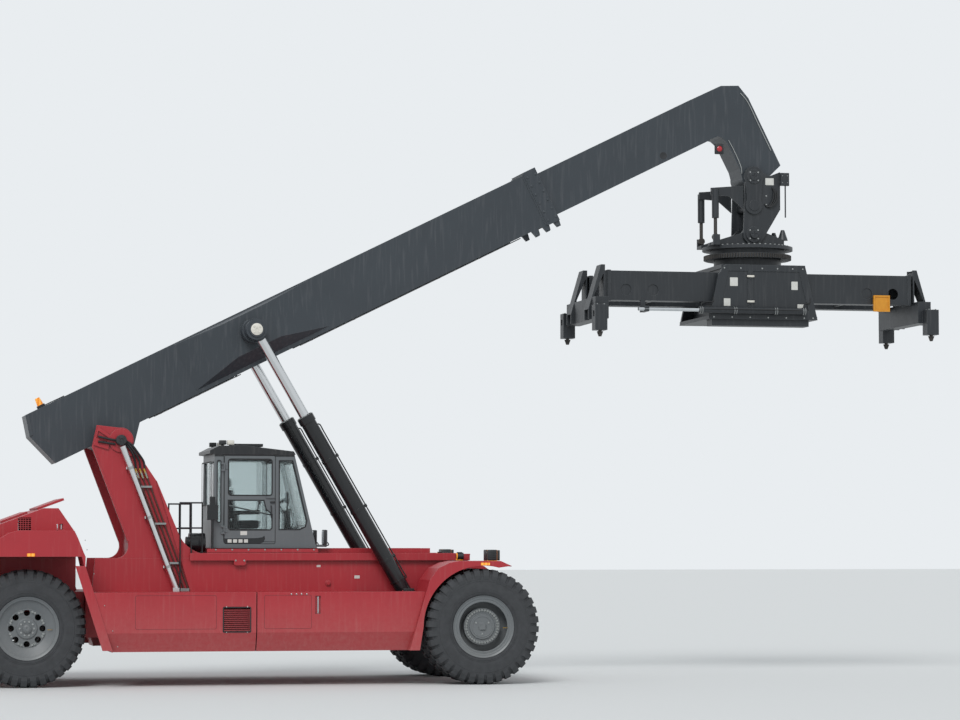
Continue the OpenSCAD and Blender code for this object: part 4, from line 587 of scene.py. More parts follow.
wheelSetup = {
    "nut": (32, 25), "bolt": (24, 16),    # across the flats, height
    # Rings: count, circle, height and first angle; two nuts of a pair stand nutPair degrees off their middle
    "frontNuts": (36, 264, 1949), "rearNuts": (8, 274, 1634), "nutPair": 4.4,
    "frontBolts": (3, 120, 1974, 90), "rearBolts": (10, 112, 1659),
    "tyreMiddle": {"front": 1850, "rear": 1500}, "valveOut": {"front": 2072, "rear": 1688},
    "ribs": ((545, 242.4, 246.6), (566, 244.6, 248.8), (738, 245.4, 248.9)),
}
for sideName, side, outward in bothSides:
    turnOver = ground if side > 0 else mirrored
    for axle, axleX in (("front", 0), ("rear", -machine["wheelbase"])):
        wheel = (frameAt(axleX, 0, machine["wheelHeight"]) @ turnOver
                 @ Matrix.Rotation(math.radians(-90), 4, "X"))
        body = f"{axle}_wheel_{sideName}"
        if axle == "front":
            nutPlaces, boltPlaces = ringOf(*wheelSetup["frontNuts"]), ringOf(*wheelSetup["frontBolts"])
        else:
            # Two nuts between each pair of hand holes
            between, pair = 180 / wheelSetup["rearNuts"][0], wheelSetup["nutPair"]
            nutPlaces = [place for start in (between - pair, between + pair)
                         for place in ringOf(*wheelSetup["rearNuts"], start)]
            boltPlaces = ringOf(*wheelSetup["rearBolts"])
        nuts = bmesh.new()
        for place in nutPlaces:
            addBolt(nuts, place, *wheelSetup["nut"])
            addTurned(nuts, [(9, 20), (9, 36), (7, 39), (0, 39)], place, steps=10)
        for place in boltPlaces:
            addBolt(nuts, place, *wheelSetup["bolt"])
        finishPiece(nuts, f"wheel_nuts_{axle}_{sideName}", body, zinc, wheel)

        cover = bmesh.new()
        if axle == "front":
            # Rounded square cap, a raised ring on the hub's face and six ribs round the hub
            addPrism(cover, roundedOutline(-52, -52, 52, 52, 14), 1988, 1999)
            addBand(cover, roundedOutline(-34, -34, 34, 34, 8), 3, 3, 1998, 2001)
            addTurned(cover, [(158, 1974), (158, 1980), (162, 1983), (170, 1983), (174, 1980), (174, 1974)],
                      steps=64)
            for i in range(6):
                addBox(cover, (186, -7, 1930), (214, 7, 1972), 2,
                       Matrix.Rotation(math.radians(60 * i), 4, "Z"))
        else:
            addTurned(cover, [(58, 1688), (58, 1694), (50, 1699), (20, 1701), (16, 1696), (0, 1696)],
                      steps=32)
            addTurned(cover, [(292, 1634), (294, 1640), (302, 1640), (306, 1634)], steps=64)
        finishPiece(cover, f"hub_cover_{axle}_{sideName}", body, greyEnamel, wheel)

        valve = bmesh.new()
        offset = wheelSetup["valveOut"][axle]
        addTube(valve, softPath([(402, 20, offset - 30), (398, 20, offset - 4), (380, 20, offset + 4),
                                 (340, 20, offset)]), 4.5)
        addTurned(valve, [(8, 0), (8, 14), (5, 18), (0, 18)], Matrix.Translation((340, 20, offset))
                  @ Matrix.Rotation(math.radians(-90), 4, "Y"), steps=12)
        finishPiece(valve, f"tyre_valve_{axle}_{sideName}", body, brass, wheel)

        ribs = bmesh.new()
        middle = wheelSetup["tyreMiddle"][axle]
        for radius, low, high in wheelSetup["ribs"]:
            addTurned(ribs, [(radius - 8, middle + low - 2), (radius - 3, middle + high),
                             (radius + 3, middle + high), (radius + 8, middle + low - 2)], steps=96)
        finishPiece(ribs, f"sidewall_ribs_{axle}_{sideName}", body, rubber, wheel)
print("wheels dressed")

# Lift cylinders: gland bolts, the pipe along the barrel and the caps of the upper pins

cylinderSetup = {"gland": (12, 113), "pipeOut": 152, "pipeRadius": 11, "clamps": (700, 1650, 2600),
                 "capSide": 1150, "capRadius": 98, "capBolts": (4, 66, 13, 45)}
for sideName, side, outward in bothSides:
    lift = frameAt(machine["foot"][0], side * machine["liftSide"], machine["foot"][1], machine["liftTilt"])
    top, around = machine["barrelLength"] - 1, machine["barrelRadius"] + 1
    gland = bmesh.new()
    for place in ringOf(*cylinderSetup["gland"], top):
        addBolt(gland, place, 24, 14)
    addTurned(gland, [(86.5, top), (98, top), (98, top + 13), (92, top + 17), (86.5, top + 17)], steps=48)
    finishPiece(gland, f"gland_bolts_{sideName}", f"lift_barrel_{sideName}", zinc, lift)

    pipe = bmesh.new()
    out = cylinderSetup["pipeOut"]
    addTube(pipe, softPath([(110, 0, 300), (out, 0, 320), (out, 0, 420)])
            + softPath([(out, 0, 3100), (out, 0, 3200), (118, 0, 3230)]), cylinderSetup["pipeRadius"],
            sides=12)
    for height in cylinderSetup["clamps"]:
        addTurned(pipe, [(around, height), (around + 6, height), (around + 6, height + 50),
                         (around, height + 50)], steps=48, closed=True)
        addBox(pipe, (120, -24, height), (out + 18, 24, height + 50), 5)
    addTurned(pipe, [(around, 330), (around + 10, 330), (around + 10, 352), (around, 352)], steps=48,
              closed=True)
    finishPiece(pipe, f"barrel_pipe_{sideName}", f"lift_barrel_{sideName}", blackEnamel, lift)

    cap = bmesh.new()
    outer = frameAt(machine["pin"][0], side * cylinderSetup["capSide"], machine["pin"][1]) @ outward
    radius = cylinderSetup["capRadius"]
    addTurned(cap, [(radius, -1), (radius, 9), (radius - 8, 14), (22, 16), (18, 10), (0, 10)], steps=48)
    for place in ringOf(*cylinderSetup["capBolts"]):
        addBolt(cap, place, 26, 14)
    finishPiece(cap, f"pin_cap_{sideName}", f"lift_rod_{sideName}", palePlastic, outer)
print("lift cylinders dressed")

# Tower: the pivot pin's cap, hoses that bring oil to the boom, their brass fittings, and pipe clips

towerSetup = {
    "capRadius": 88, "capBolts": (4, 58, 908, 45), "hoseRadius": 17, "returnRadius": 19,
    "hoseSide": 778, "returnSide": 812,
    "fittingSide": 750, "fittingZ": 3450, "fittingX": (-5494, -5424, -5354),
    "bundle": (-5405, 3400, 0.3756), "bundleClips": (2600, 1960),    # x of the middle pipe at a height, lean
    "pipe": (-5740, 3870, 0.3814), "pipeClips": (1900, 2700, 3500),
}
for sideName, side, outward in bothSides:
    cap = bmesh.new()
    place = frameAt(machine["pivot"][0], 0, machine["pivot"][1]) @ outward
    radius = towerSetup["capRadius"]
    addTurned(cap, [(83, 788), (radius, 788), (radius, 898), (radius - 10, 908), (30, 912), (24, 904),
                    (0, 904)], place, steps=48)
    for bolt in ringOf(*towerSetup["capBolts"]):
        addBolt(cap, place @ bolt, 22, 12)
    finishPiece(cap, f"pivot_cap_{sideName}", "chassis", blackPlastic)

    hoses, fittings = bmesh.new(), bmesh.new()
    y, fittingY = side * towerSetup["hoseSide"], side * towerSetup["fittingSide"]
    endZ = towerSetup["fittingZ"]
    for i, endX in enumerate(towerSetup["fittingX"]):
        path = softPath([(-5700 + 22 * i, y + side * 8, 3905 + 16 * i),
                         (-5640 + 34 * i, y + side * 34, 3850 + 14 * i),
                         (-5560 + 40 * i, y + side * 30, 3740 + 10 * i), (endX - 26, y - side * 8, 3620),
                         (endX - 8, fittingY, 3530), (endX, fittingY, endZ + 8)])
        addTube(hoses, path, towerSetup["hoseRadius"], sides=12)
        elbow = frameAt(endX, fittingY, endZ - 6, 20)
        addTurned(fittings, [(0, -100), (25, -100), (25, -60), (20, -56), (20, -30), (26, -26), (26, 12),
                             (20, 20), (20, 56), (0, 56)], elbow, steps=6)
        addTurned(fittings, [(21, 20), (24, 24), (24, 48), (21, 52)], elbow, steps=20, closed=True)
    # Two return hoses that lie in the bracket behind the pin
    y = side * towerSetup["returnSide"]
    for drop in (0, -62):
        path = softPath([(-6120, y, 4010 + drop * 1.3), (-6040, y, 3992 + drop * 1.2),
                         (-5930, y, 3968 + drop * 1.1), (-5840, y - side * 6, 3950 + drop)])
        addTube(hoses, path, towerSetup["returnRadius"], sides=12)
    finishPiece(hoses, f"tower_hoses_{sideName}", "chassis", hoseRubber)
    finishPiece(fittings, f"hose_fittings_{sideName}", "chassis", brass)

    clips = bmesh.new()
    startX, startZ, lean = towerSetup["bundle"]
    for z in towerSetup["bundleClips"]:
        for i in range(3):
            x = startX + (i - 1) * 70 + (startZ - z) * lean
            addBox(clips, (x - 30, side * 765 - 7, z - 17),
                   (x + 30, side * 765 + 15 + (side - 1) * 4, z + 17), 4)
            addBolt(clips, frameAt(x + 24, side * 779, z) @ outward, 14, 9)
    startX, startZ, lean = towerSetup["pipe"]
    for z in towerSetup["pipeClips"]:
        ring = frameAt(startX + (startZ - z) * lean, side * 880, z, math.degrees(math.atan(lean)))
        addTurned(clips, [(53.5, -22), (58, -22), (58, 22), (53.5, 22)], ring, steps=32, closed=True)
    finishPiece(clips, f"pipe_clips_{sideName}", "chassis", zinc)

    # Oil hoses from the lift cylinder's foot down into the frame
    feed = bmesh.new()
    for i in range(3):
        path = softPath([(-1110 + 46 * i, side * 1170, 1520), (-1075 + 46 * i, side * 1236, 1400),
                         (-1030 + 44 * i, side * 1252, 1180), (-985 + 40 * i, side * 1190, 960),
                         (-950 + 34 * i, side * 980, 815), (-935 + 30 * i, side * 757, 800)])
        addTube(feed, path, 17, sides=12)
    addBox(feed, (-1150, side * 1170 - 26, 1490), (-970, side * 1170 + 26, 1545), 6)
    finishPiece(feed, f"foot_hoses_{sideName}", "chassis", hoseRubber)
print("tower and feet dressed")

# Frame: head and deck lamps, junction boxes, blank plates, screws, latches and panel seams

frameSetup = {
    "headlamp": ((80, 1696, 1995), (252, 1964, 2177)), "deckLamp": (-194, 810, 2066), "boxSide": 805,
    "rivets": [(x, 1470) for x in (-3127, -3044, -2962, -2879)],
    "grilleScrews": [(x, z) for x in (-4170, -3834) for z in (866, 1267)],
    "edgeScrews": ((-6422, 2330), (-6392, 2180), (-6280, 1800), (-6110, 1300), (-5980, 900), (-5900, 650)),
    "seams": ((-3560, -2800), (-5620, -4330)),
}
for sideName, side, outward in bothSides:
    shell, lens = bmesh.new(), bmesh.new()
    low, high = frameSetup["headlamp"]
    nearY, farY = sorted((side * low[1], side * high[1]))
    addBox(shell, (low[0], nearY, low[2]), (high[0], farY, high[2]), 14)
    for i in range(5):
        z = 2020 + 30 * i
        addBox(shell, (104, side * 1966 - 5, z), (236, side * 1966 + 5, z + 12), 3)
    centre = frameAt(251, side * 1830, 2086) @ Matrix.Rotation(math.radians(90), 4, "Y")
    addBand(shell, roundedOutline(-80, -121, 80, 121, 18), 6, 4, -2, 46, centre)
    addPrism(lens, roundedOutline(-76, -117, 76, 117, 14), 39, 42, centre)
    for i in range(9):
        addBox(lens, (-70, -104 + 26 * i - 3, 41), (70, -104 + 26 * i + 3, 45), 2, centre)
    finishPiece(shell, f"headlamp_shell_{sideName}", "chassis", blackPlastic)
    finishPiece(lens, f"headlamp_lens_{sideName}", "chassis", clearLens)

    work, workLens = bmesh.new(), bmesh.new()
    x, y, z = frameSetup["deckLamp"]
    place = frameAt(x, side * y, z) @ Matrix.Rotation(math.radians(90), 4, "Y")
    addTurned(work, [(0, 0), (30, 0), (57, 22), (57.5, 112), (62, 114), (62, 122), (54, 122), (54, 116)],
              place, 32)
    addTurned(workLens, [(0, 117), (30, 119), (53.5, 117)], place, 32)
    for i in range(3):
        addBox(work, (-70, -4 + 24 * (i - 1), 20), (-54, 4 + 24 * (i - 1), 100), 2, place)
    finishPiece(work, f"deck_lamp_{sideName}", "chassis", blackPlastic)
    finishPiece(workLens, f"deck_lamp_lens_{sideName}", "chassis", clearLens)

    box = bmesh.new()
    y = side * frameSetup["boxSide"]
    addBox(box, (-77, y - 42, 1999), (38, y + 42, 2104), 7)
    addBox(box, (-77, y - 46, 2086), (42, y + 46, 2108), 5)
    addTube(box, softPath([(-20, y, 2000), (-20, side * 830, 1960), (-20, side * 900, 1940),
                           (-60, side * 1100, 1950), (-90, side * 1205, 1972)]), 11)
    finishPiece(box, f"junction_box_{sideName}", "chassis", redEnamel)

    marks = bmesh.new()
    face = machine["towerFace"]
    addPrism(marks, roundedOutline(-1892, 1702, -1802, 1752, 6), face, face + 2.5, outward)
    addPrism(marks, roundedOutline(-2520, 1890, -2456, 1926, 5), face, face + 2.5, outward)
    finishPiece(marks, f"blank_plates_{sideName}", "chassis", plateFilm)

    screws = bmesh.new()
    face = machine["boxFace"]
    for places, profile, steps in (
            (frameSetup["rivets"], [(13, face - 1), (12, face + 5), (7, face + 8), (0, face + 9)], 16),
            (frameSetup["grilleScrews"], [(11, face - 1), (10, face + 4), (5, face + 7), (0, face + 7)], 16),
            (frameSetup["edgeScrews"], [(9, face + 21), (8, face + 26), (0, face + 27)], 12)):
        for x, z in places:
            addTurned(screws, profile, frameAt(x, 0, z) @ outward, steps=steps)
    bolts = [(x, 2000, 24, 14) for x in (-3870, -3730)] + [(-4200 + 270 * i, 2176, 20, 11) for i in range(7)]
    for x, z, across, height in bolts:
        addBolt(screws, frameAt(x, 0, z) @ outward @ Matrix.Translation((0, 0, machine["spineFace"] - 1)),
                across, height)
    finishPiece(screws, f"frame_screws_{sideName}", "chassis", zinc)

    latch = bmesh.new()
    addBox(latch, (-6830, side * 1502 - 4, 2490), (-6814, side * 1502 + 4, 2588), 3)
    addTube(latch, [(-6760, side * 1497, 2505), (-6760, side * 1497, 2580)], 9)
    addTube(latch, softPath([(-2695, side * 1968, 1165), (-2695, side * 1972, 1185),
                             (-2695, side * 1972, 1405), (-2695, side * 1968, 1425)]), 11)
    finishPiece(latch, f"latches_{sideName}", "chassis", chrome)

    seams = bmesh.new()
    for x0, x1 in frameSetup["seams"]:
        addBand(seams, roundedOutline(x0, 920, x1, 1452, 30), 2, 2, face - 0.5, face + 0.6, outward)
    addBand(seams, roundedOutline(-4216, 875, -3788, 1258, 10), 4, 14, face - 1, face + 6, outward)
    finishPiece(seams, f"panel_seams_{sideName}", "chassis", hoseRubber)
print("frame dressed")

# Boom: bolts on the collar, greasing lines along its lower edges, the beacon's foot and ribs

boomSetup = {
    "collarBolts": (180, 340, 500, 660, 820, 980), "collarFace": 424, "plateFace": 399, "lineSide": 388,
    "lines": ((700, 2300, 800, 700), (3400, 7600, 3600, 800)),    # from, to, first clip, clip spacing
}
for sideName, side, outward in bothSides:
    bolts = bmesh.new()
    for w in boomSetup["collarBolts"]:
        for back in (190, 40):
            addBolt(bolts, boomFrame @ frameAt(machine["collar"] - back, 0, w) @ outward
                    @ Matrix.Translation((0, 0, boomSetup["collarFace"])), 30, 17)
    for i in range(3):
        addBolt(bolts, boomFrame @ frameAt(machine["collar"] - 62 - 205 * i, 0, 40) @ outward
                @ Matrix.Translation((0, 0, boomSetup["plateFace"])), 26, 14)
    finishPiece(bolts, f"collar_bolts_{sideName}", "boom", slateEnamel)
    line = bmesh.new()
    y = side * boomSetup["lineSide"]
    for start, end, firstClip, spacing in boomSetup["lines"]:
        addTube(line, [(start, y, 108), (end, y, 108)], 8, boomFrame)
        for u in range(firstClip, end, spacing):
            addBox(line, (u, y - 14, 98), (u + 40, y + 12, 127), 3, boomFrame)
    finishPiece(line, f"grease_line_{sideName}", "boom", blackEnamel)
beaconFoot = bmesh.new()
place = boomFrame @ Matrix.Translation((-850, 0, machine["boomHigh"]))
addTurned(beaconFoot, [(66, 0), (72, 4), (72, 38), (66, 44), (57, 44)], place, steps=40)
addTube(beaconFoot, softPath([(-785, 0, 1056), (-700, 30, 1058), (-560, 60, 1056), (-430, 60, 1056)]), 8,
        boomFrame)
finishPiece(beaconFoot, "beacon_foot", "boom", blackPlastic)
beaconRibs = bmesh.new()
for i in range(5):
    height = 52 + 24 * i
    ribRadius = 55 - 15 * (height - 40) / 130
    addTurned(beaconRibs, [(ribRadius, height - 4), (ribRadius + 2.5, height), (ribRadius, height + 4)],
              place, steps=40)
finishPiece(beaconRibs, "beacon_ribs", "boom", amber)
print("boom dressed")

# Neck and link: lamp under the neck, pipes along its edges, plugs, blank plates, bolts and hoses

neckSetup = {"lamp": (4535, -331, 9051), "pipeSide": 339, "plugFace": 329}
neckLamp, neckLens = bmesh.new(), bmesh.new()
x, y, z = neckSetup["lamp"]
addBox(neckLamp, (x - 75, y + 2, z - 90), (x + 75, y + 62, z + 90), 12)
addBand(neckLamp, roundedOutline(x - 52, z - 52, x + 52, z + 52, 52 * 0.98), 2, 8, -y - 8, -y + 6,
        facingRight)
addTurned(neckLens, [(0, 16), (30, 12), (50, 0)],
          frameAt(x, 0, z) @ facingRight @ Matrix.Translation((0, 0, -y - 2)))
finishPiece(neckLamp, "neck_lamp", "inner_boom", blackPlastic)
finishPiece(neckLens, "neck_lamp_lens", "inner_boom", redLens)
neckPipes = bmesh.new()
for side in (1, -1):
    y = side * neckSetup["pipeSide"]
    addTube(neckPipes, softPath([(11690, y, 60), (11700, y, -160), (11690, y, -420), (11650, y, -560)]), 9,
            boomFrame)
    addTube(neckPipes, softPath([(12250, y, 700), (12300, y, 500), (12300, y, 100), (12300, y, -420)]), 9,
            boomFrame)
finishPiece(neckPipes, "neck_pipes", "inner_boom", zinc)
plugs = bmesh.new()
face = neckSetup["plugFace"]
for sideName, side, outward in bothSides:
    addTurned(plugs, [(62, face), (62, face + 2), (50, face + 2.6), (46, face + 1.6), (0, face + 1.6)],
              boomFrame @ frameAt(10518, 0, 310) @ outward, steps=32)
finishPiece(plugs, "boom_plugs", "inner_boom", blackPlastic)

linkSetup = {"plate": (215, -140, 365, -20), "plateFace": 374,
             "pins": ((0, 424), (-1000, 399)),    # height, face
             "earScrews": [(x, z) for x in (500, 590) for z in (20, -100)], "sideBolts": (-330, -480)}
for sideName, side, outward in bothSides:
    plates = bmesh.new()
    face = linkSetup["plateFace"]
    addPrism(plates, roundedOutline(*linkSetup["plate"], 8), face + 0.5, face + 3, headFrame @ outward)
    finishPiece(plates, f"link_plate_{sideName}", "link", plateFilm)
    bolts = bmesh.new()
    for z, height in linkSetup["pins"]:
        for place in ringOf(4, 100, height, 45):
            addBolt(bolts, headFrame @ frameAt(0, 0, z) @ outward @ place, 22, 12)
    for x, z in linkSetup["earScrews"]:
        addTurned(bolts, [(8, 0), (7, 4), (0, 5)], headFrame @ frameAt(x, 0, z) @ outward
                  @ Matrix.Translation((0, 0, 449)), steps=12)
    for z in linkSetup["sideBolts"]:
        addBolt(bolts, headFrame @ frameAt(230, 0, z) @ outward @ Matrix.Translation((0, 0, face)), 22, 12)
    finishPiece(bolts, f"link_bolts_{sideName}", "link", zinc)
    hoses = bmesh.new()
    for i in range(3):
        y = side * (392 + 8 * i)
        addTube(hoses, softPath([(330 + 40 * i, y, -180 - 30 * i),
                                 (360 + 26 * i, y + side * 14, -260 - 30 * i),
                                 (330 + 34 * i, y + side * 20, -420), (250 + 30 * i, y + side * 10, -520),
                                 (196 + 24 * i, y - side * 10, -470 - 20 * i)]), 12, headFrame, sides=10)
    finishPiece(hoses, f"link_hoses_{sideName}", "link", hoseRubber)
print("neck and link dressed")

# Cab: window rubbers, wiper, roof lamps, mirrors, grab bar, handle, door panel, blank plates, display, seat

cabSetup = {
    "door": ((-3985, 2530), (-3950, 2495), (-3289, 2495), (-3254, 2530), (-3254, 2760), (-3349, 2840),
             (-3389, 2990), (-3985, 2990)),
    "quarter": ((-3144, 2500), (-2800, 2500), (-2700, 2550), (-2676, 2650), (-2914, 3640), (-3144, 3640)),
    "rear": -4250, "screen": (-2530, 0, 2250, 13.5), "roofLamp": (566, 674), "mirror": (436, 624),
    "doorEdge": -3212,
}
face = machine["cabFace"]
doorRubber = bmesh.new()
addBand(doorRubber, roundedOutline(-3985, 3060, -3254, 3665, 50), 16, 5, face - 3, face + 3, facingRight)
addBand(doorRubber, cabSetup["door"], 16, 5, face - 3, face + 3, facingRight)
addBand(doorRubber, roundedOutline(-4050, 2270, -3202, 3722, 30), 9, 1, face - 3, face + 1, facingRight)
finishPiece(doorRubber, "door_rubber", "door", hoseRubber)
cabRubber = bmesh.new()
for sideName, side, outward in bothSides:
    addBand(cabRubber, cabSetup["quarter"], 16, 5, face - 3, face + 3, outward)
    addBand(cabRubber, roundedOutline(-4170, 2620, -4100, 3640, 30), 14, 5, face - 3, face + 3, outward)
addBand(cabRubber, roundedOutline(-4000, 2500, -3200, 3670, 60), 16, 5, face - 3, face + 3,
        mirrored @ facingRight)
screenPlace = frameAt(*cabSetup["screen"])
addBand(cabRubber, roundedOutline(-640, 260, 640, 1400, 40), 18, 5, -3, 3, screenPlace @ facingFront)
rear = -cabSetup["rear"]
addBand(cabRubber, roundedOutline(-600, 2900, 600, 3620, 40), 16, 5, rear - 3, rear + 3, facingBack)
finishPiece(cabRubber, "cab_rubber", "cab", hoseRubber)

wiper = bmesh.new()
addTube(wiper, [(16, 60, 250), (24, 40, 330), (18, -130, 900)], 8, screenPlace)
addBox(wiper, (-6, -150, 560), (14, -136, 1180), 3, screenPlace @ Matrix.Rotation(math.radians(6), 4, "X"))
addTurned(wiper, [(24, -20), (24, 12), (14, 22), (0, 24)],
          screenPlace @ frameAt(4, 60, 236) @ Matrix.Rotation(math.radians(90), 4, "Y"), steps=20)
finishPiece(wiper, "cab_wiper", "cab", blackPlastic)

for sideName, side, outward in bothSides:
    lampsPale, lampsDark, lampGlass = bmesh.new(), bmesh.new(), bmesh.new()
    low, high = sorted(side * y for y in cabSetup["roofLamp"])
    addBox(lampsDark, (-4124, low, 3896), (-4012, high, 3969), 9)
    addBox(lampsPale, (-3994, low, 3896), (-3881, high, 3969), 9)
    for front in (-4012, -3881):
        addPrism(lampGlass, roundedOutline(low + 8, 3904, high - 8, 3961, 8), front - 1, front + 3,
                 facingFront)
    finishPiece(lampsDark, f"roof_lamp_{sideName}", "cab", blackPlastic)
    finishPiece(lampsPale, f"roof_lamp_pale_{sideName}", "cab", palePlastic)
    finishPiece(lampGlass, f"roof_lamp_lens_{sideName}", "cab", clearLens)
    mirror, mirrorFace = bmesh.new(), bmesh.new()
    low, high = sorted(side * y for y in cabSetup["mirror"])
    addBox(mirror, (-2386, low, 2256), (-2326, high, 2504), 16)
    addPrism(mirrorFace, roundedOutline(low + 12, 2268, high - 12, 2492, 14), 2386, 2388, facingBack)
    addTube(mirror, softPath([(-2340, side * 530, 2300), (-2300, side * 530, 2290), (-2290, side * 530, 2250),
                              (-2400, side * 530, 2236)]), 9)
    finishPiece(mirror, f"cab_mirror_{sideName}", "cab", blackPlastic)
    finishPiece(mirrorFace, f"mirror_glass_{sideName}", "cab", mirrorGlass)

grabBar = bmesh.new()
addTube(grabBar, softPath([(-3990, -664, 2896), (-3970, -648, 2900), (-3740, -640, 2850), (-3500, -640, 2798),
                           (-3264, -648, 2748), (-3250, -664, 2740)]), 13)
finishPiece(grabBar, "grab_bar", "door", palePlastic)
handle = bmesh.new()
addBox(handle, (-3290, -742, 2935), (-3150, -722, 2975), 7)
addTube(handle, softPath([(-3275, -722, 2890), (-3275, -752, 2880), (-3275, -752, 2720),
                          (-3275, -722, 2710)]), 9)
# The handle's plate ends at the door's edge
for corner in handle.verts:
    if corner.co.x > cabSetup["doorEdge"] + 2:
        corner.co.x = cabSetup["doorEdge"]
finishPiece(handle, "door_handle", "door", blackPlastic)

footPanel, plates = bmesh.new(), bmesh.new()
addPrism(footPanel, [(-4040, 2276), (-3460, 2276), (-3400, 2300), (-3374, 2352), (-3382, 2405), (-3420, 2380),
                     (-3500, 2368), (-3700, 2362), (-4040, 2360)], face + 0.4, face + 2.4, facingRight)
for x in (-3990, -3900, -3810, -3720):
    addPrism(plates, roundedOutline(x, 2292, x + 66, 2346, 6), face + 2.2, face + 3.4, facingRight)
addPrism(plates, roundedOutline(-3780, 2415, -3670, 2480, 6), face + 0.4, face + 2, facingRight)
finishPiece(footPanel, "door_foot_panel", "door", blackEnamel)
finishPiece(plates, "door_plates", "door", plateFilm)

inside, screenFace = bmesh.new(), bmesh.new()
addTube(inside, softPath([(-3000, -330, 2290), (-2990, -350, 2560), (-2960, -380, 2840),
                          (-2950, -390, 2960)]), 16)
addBox(inside, (-2985, -500, 2950), (-2945, -290, 3120), 9)
addPrism(screenFace, roundedOutline(-490, 2962, -300, 3108, 8), 2985.4, 2987, facingBack)
addTube(inside, softPath([(-3440, -292, 2820), (-3430, -292, 2880), (-3415, -292, 2930)]), 14)
addTurned(inside, [(0, 0), (20, 4), (27, 26), (26, 60), (18, 84), (0, 90)], frameAt(-3412, -292, 2925),
          steps=20)
addBox(inside, (-3560, -330, 2818), (-3400, -256, 2832), 5)
finishPiece(inside, "cab_display", "cab", blackPlastic)
finishPiece(screenFace, "display_screen", "cab", mirrorGlass)


def wovenFabric():
    # Woven polyester seat cover over foam: plain weave, threads about 3 mm apart, soft sheen
    material, tree, shader, place = startMaterial("wovenSeatFabric")
    threads = []
    for direction in ("X", "Z"):
        threads.append(addNode(tree, "ShaderNodeTexWave", {"Vector": place, "Scale": 0.314 * perMetre(3),
                                                           "Distortion": 0.4, "Detail": 2.0},
                               bands_direction=direction))
    weave = addNode(tree, "ShaderNodeMath", {0: threads[0].outputs["Fac"], 1: threads[1].outputs["Fac"]},
                    operation="MULTIPLY")
    worn = addNode(tree, "ShaderNodeTexNoise", {"Vector": place, "Scale": perMetre(120), "Detail": 4.0})
    tone = addNode(tree, "ShaderNodeMix", {"Factor": worn.outputs["Fac"], 6: linear("#1B1D21"),
                                           7: linear("#33363C")}, data_type="RGBA")
    tree.links.new(tone.outputs[2], shader.inputs["Base Color"])
    bump = addNode(tree, "ShaderNodeBump",
                   {"Height": weave.outputs["Value"], "Strength": 0.5, "Distance": 0.0008})
    tree.links.new(bump.outputs["Normal"], shader.inputs["Normal"])
    shader.inputs["Roughness"].default_value = 0.9
    shader.inputs["Sheen Weight"].default_value = 0.25
    shader.inputs["IOR"].default_value = 1.5
    return material


fabric = wovenFabric()
cushionSetup = {"voxel": 0.010, "pressure": 4.0, "cap": 0.017, "frames": 20}


def swellCushion(piece):
    # Foam under a sewn cover: the closed form is remeshed, filled by pressure, then smoothed
    def bake(modifier):
        evaluated = piece.evaluated_get(bpy.context.evaluated_depsgraph_get())
        made = bpy.data.meshes.new_from_object(evaluated)
        piece.modifiers.remove(modifier)
        piece.data = made

    remesh = piece.modifiers.new("voxels", "REMESH")
    remesh.mode = "VOXEL"
    remesh.voxel_size = cushionSetup["voxel"]
    bake(remesh)
    start = [v.co.copy() for v in piece.data.vertices]
    cloth = piece.modifiers.new("cover", "CLOTH")
    cloth.settings.use_pressure = True
    cloth.settings.uniform_pressure_force = cushionSetup["pressure"]
    cloth.settings.effector_weights.gravity = 0
    cloth.point_cache.frame_start = 1
    cloth.point_cache.frame_end = cushionSetup["frames"]
    for i in range(1, cushionSetup["frames"] + 1):
        scene.frame_set(i)
    bake(cloth)
    scene.frame_set(1)
    for vertex, old in zip(piece.data.vertices, start):
        moved = vertex.co - old
        if moved.length > cushionSetup["cap"]:
            vertex.co = old + moved.normalized() * cushionSetup["cap"]
    smooth = piece.modifiers.new("smooth", "SUBSURF")
    smooth.levels = smooth.render_levels = 1
    bake(smooth)
    for polygon in piece.data.polygons:
        polygon.use_smooth = True


seatSetup = {
    "seat_base": ([(-3868, 2540), (-3392, 2540), (-3384, 2600), (-3400, 2642), (-3460, 2648),
                   (-3868, 2638)], 232),
    "seat_back": ([(-3872, 2676), (-3786, 2676), (-3800, 2800), (-3846, 3176), (-3924, 3176)], 222),
    "seat_headrest": ([(-3932, 3206), (-3862, 3206), (-3884, 3364), (-3950, 3364)], 150),
}
for name, (outline, halfWidth) in seatSetup.items():
    form = bmesh.new()
    addPrism(form, outline, -halfWidth, halfWidth, facingRight)
    cushion = finishPiece(form, name, "cab", fabric)
    swellCushion(cushion)
    if name == "seat_base":
        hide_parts("cab_seat")
piping = bmesh.new()
addTube(piping, softPath([(-3868, -242, 2646), (-3460, -242, 2656), (-3386, -236, 2620), (-3382, 0, 2616),
                          (-3386, 236, 2620), (-3460, 242, 2656), (-3868, 242, 2646)]), 4)
addTube(piping, softPath([(-3784, -226, 2690), (-3800, -230, 2800), (-3842, -228, 3150), (-3860, -190, 3186),
                          (-3860, 190, 3186), (-3842, 228, 3150), (-3800, 230, 2800), (-3784, 226, 2690)]), 4)
finishPiece(piping, "seat_piping", "cab", hoseRubber)
shell = bmesh.new()
addPrism(shell, [(-3900, 2505), (-3380, 2505), (-3372, 2519), (-3884, 2519), (-3890, 2660), (-3972, 3376),
                 (-3984, 3376), (-3912, 2700)], -236, 236, facingRight)
finishPiece(shell, "seat_shell", "cab", blackPlastic)
print("cab dressed")

# Slewing gear and spreader: bearing bolts, ring teeth, blank plates, hinges, screws, bright rod, rings, hoses

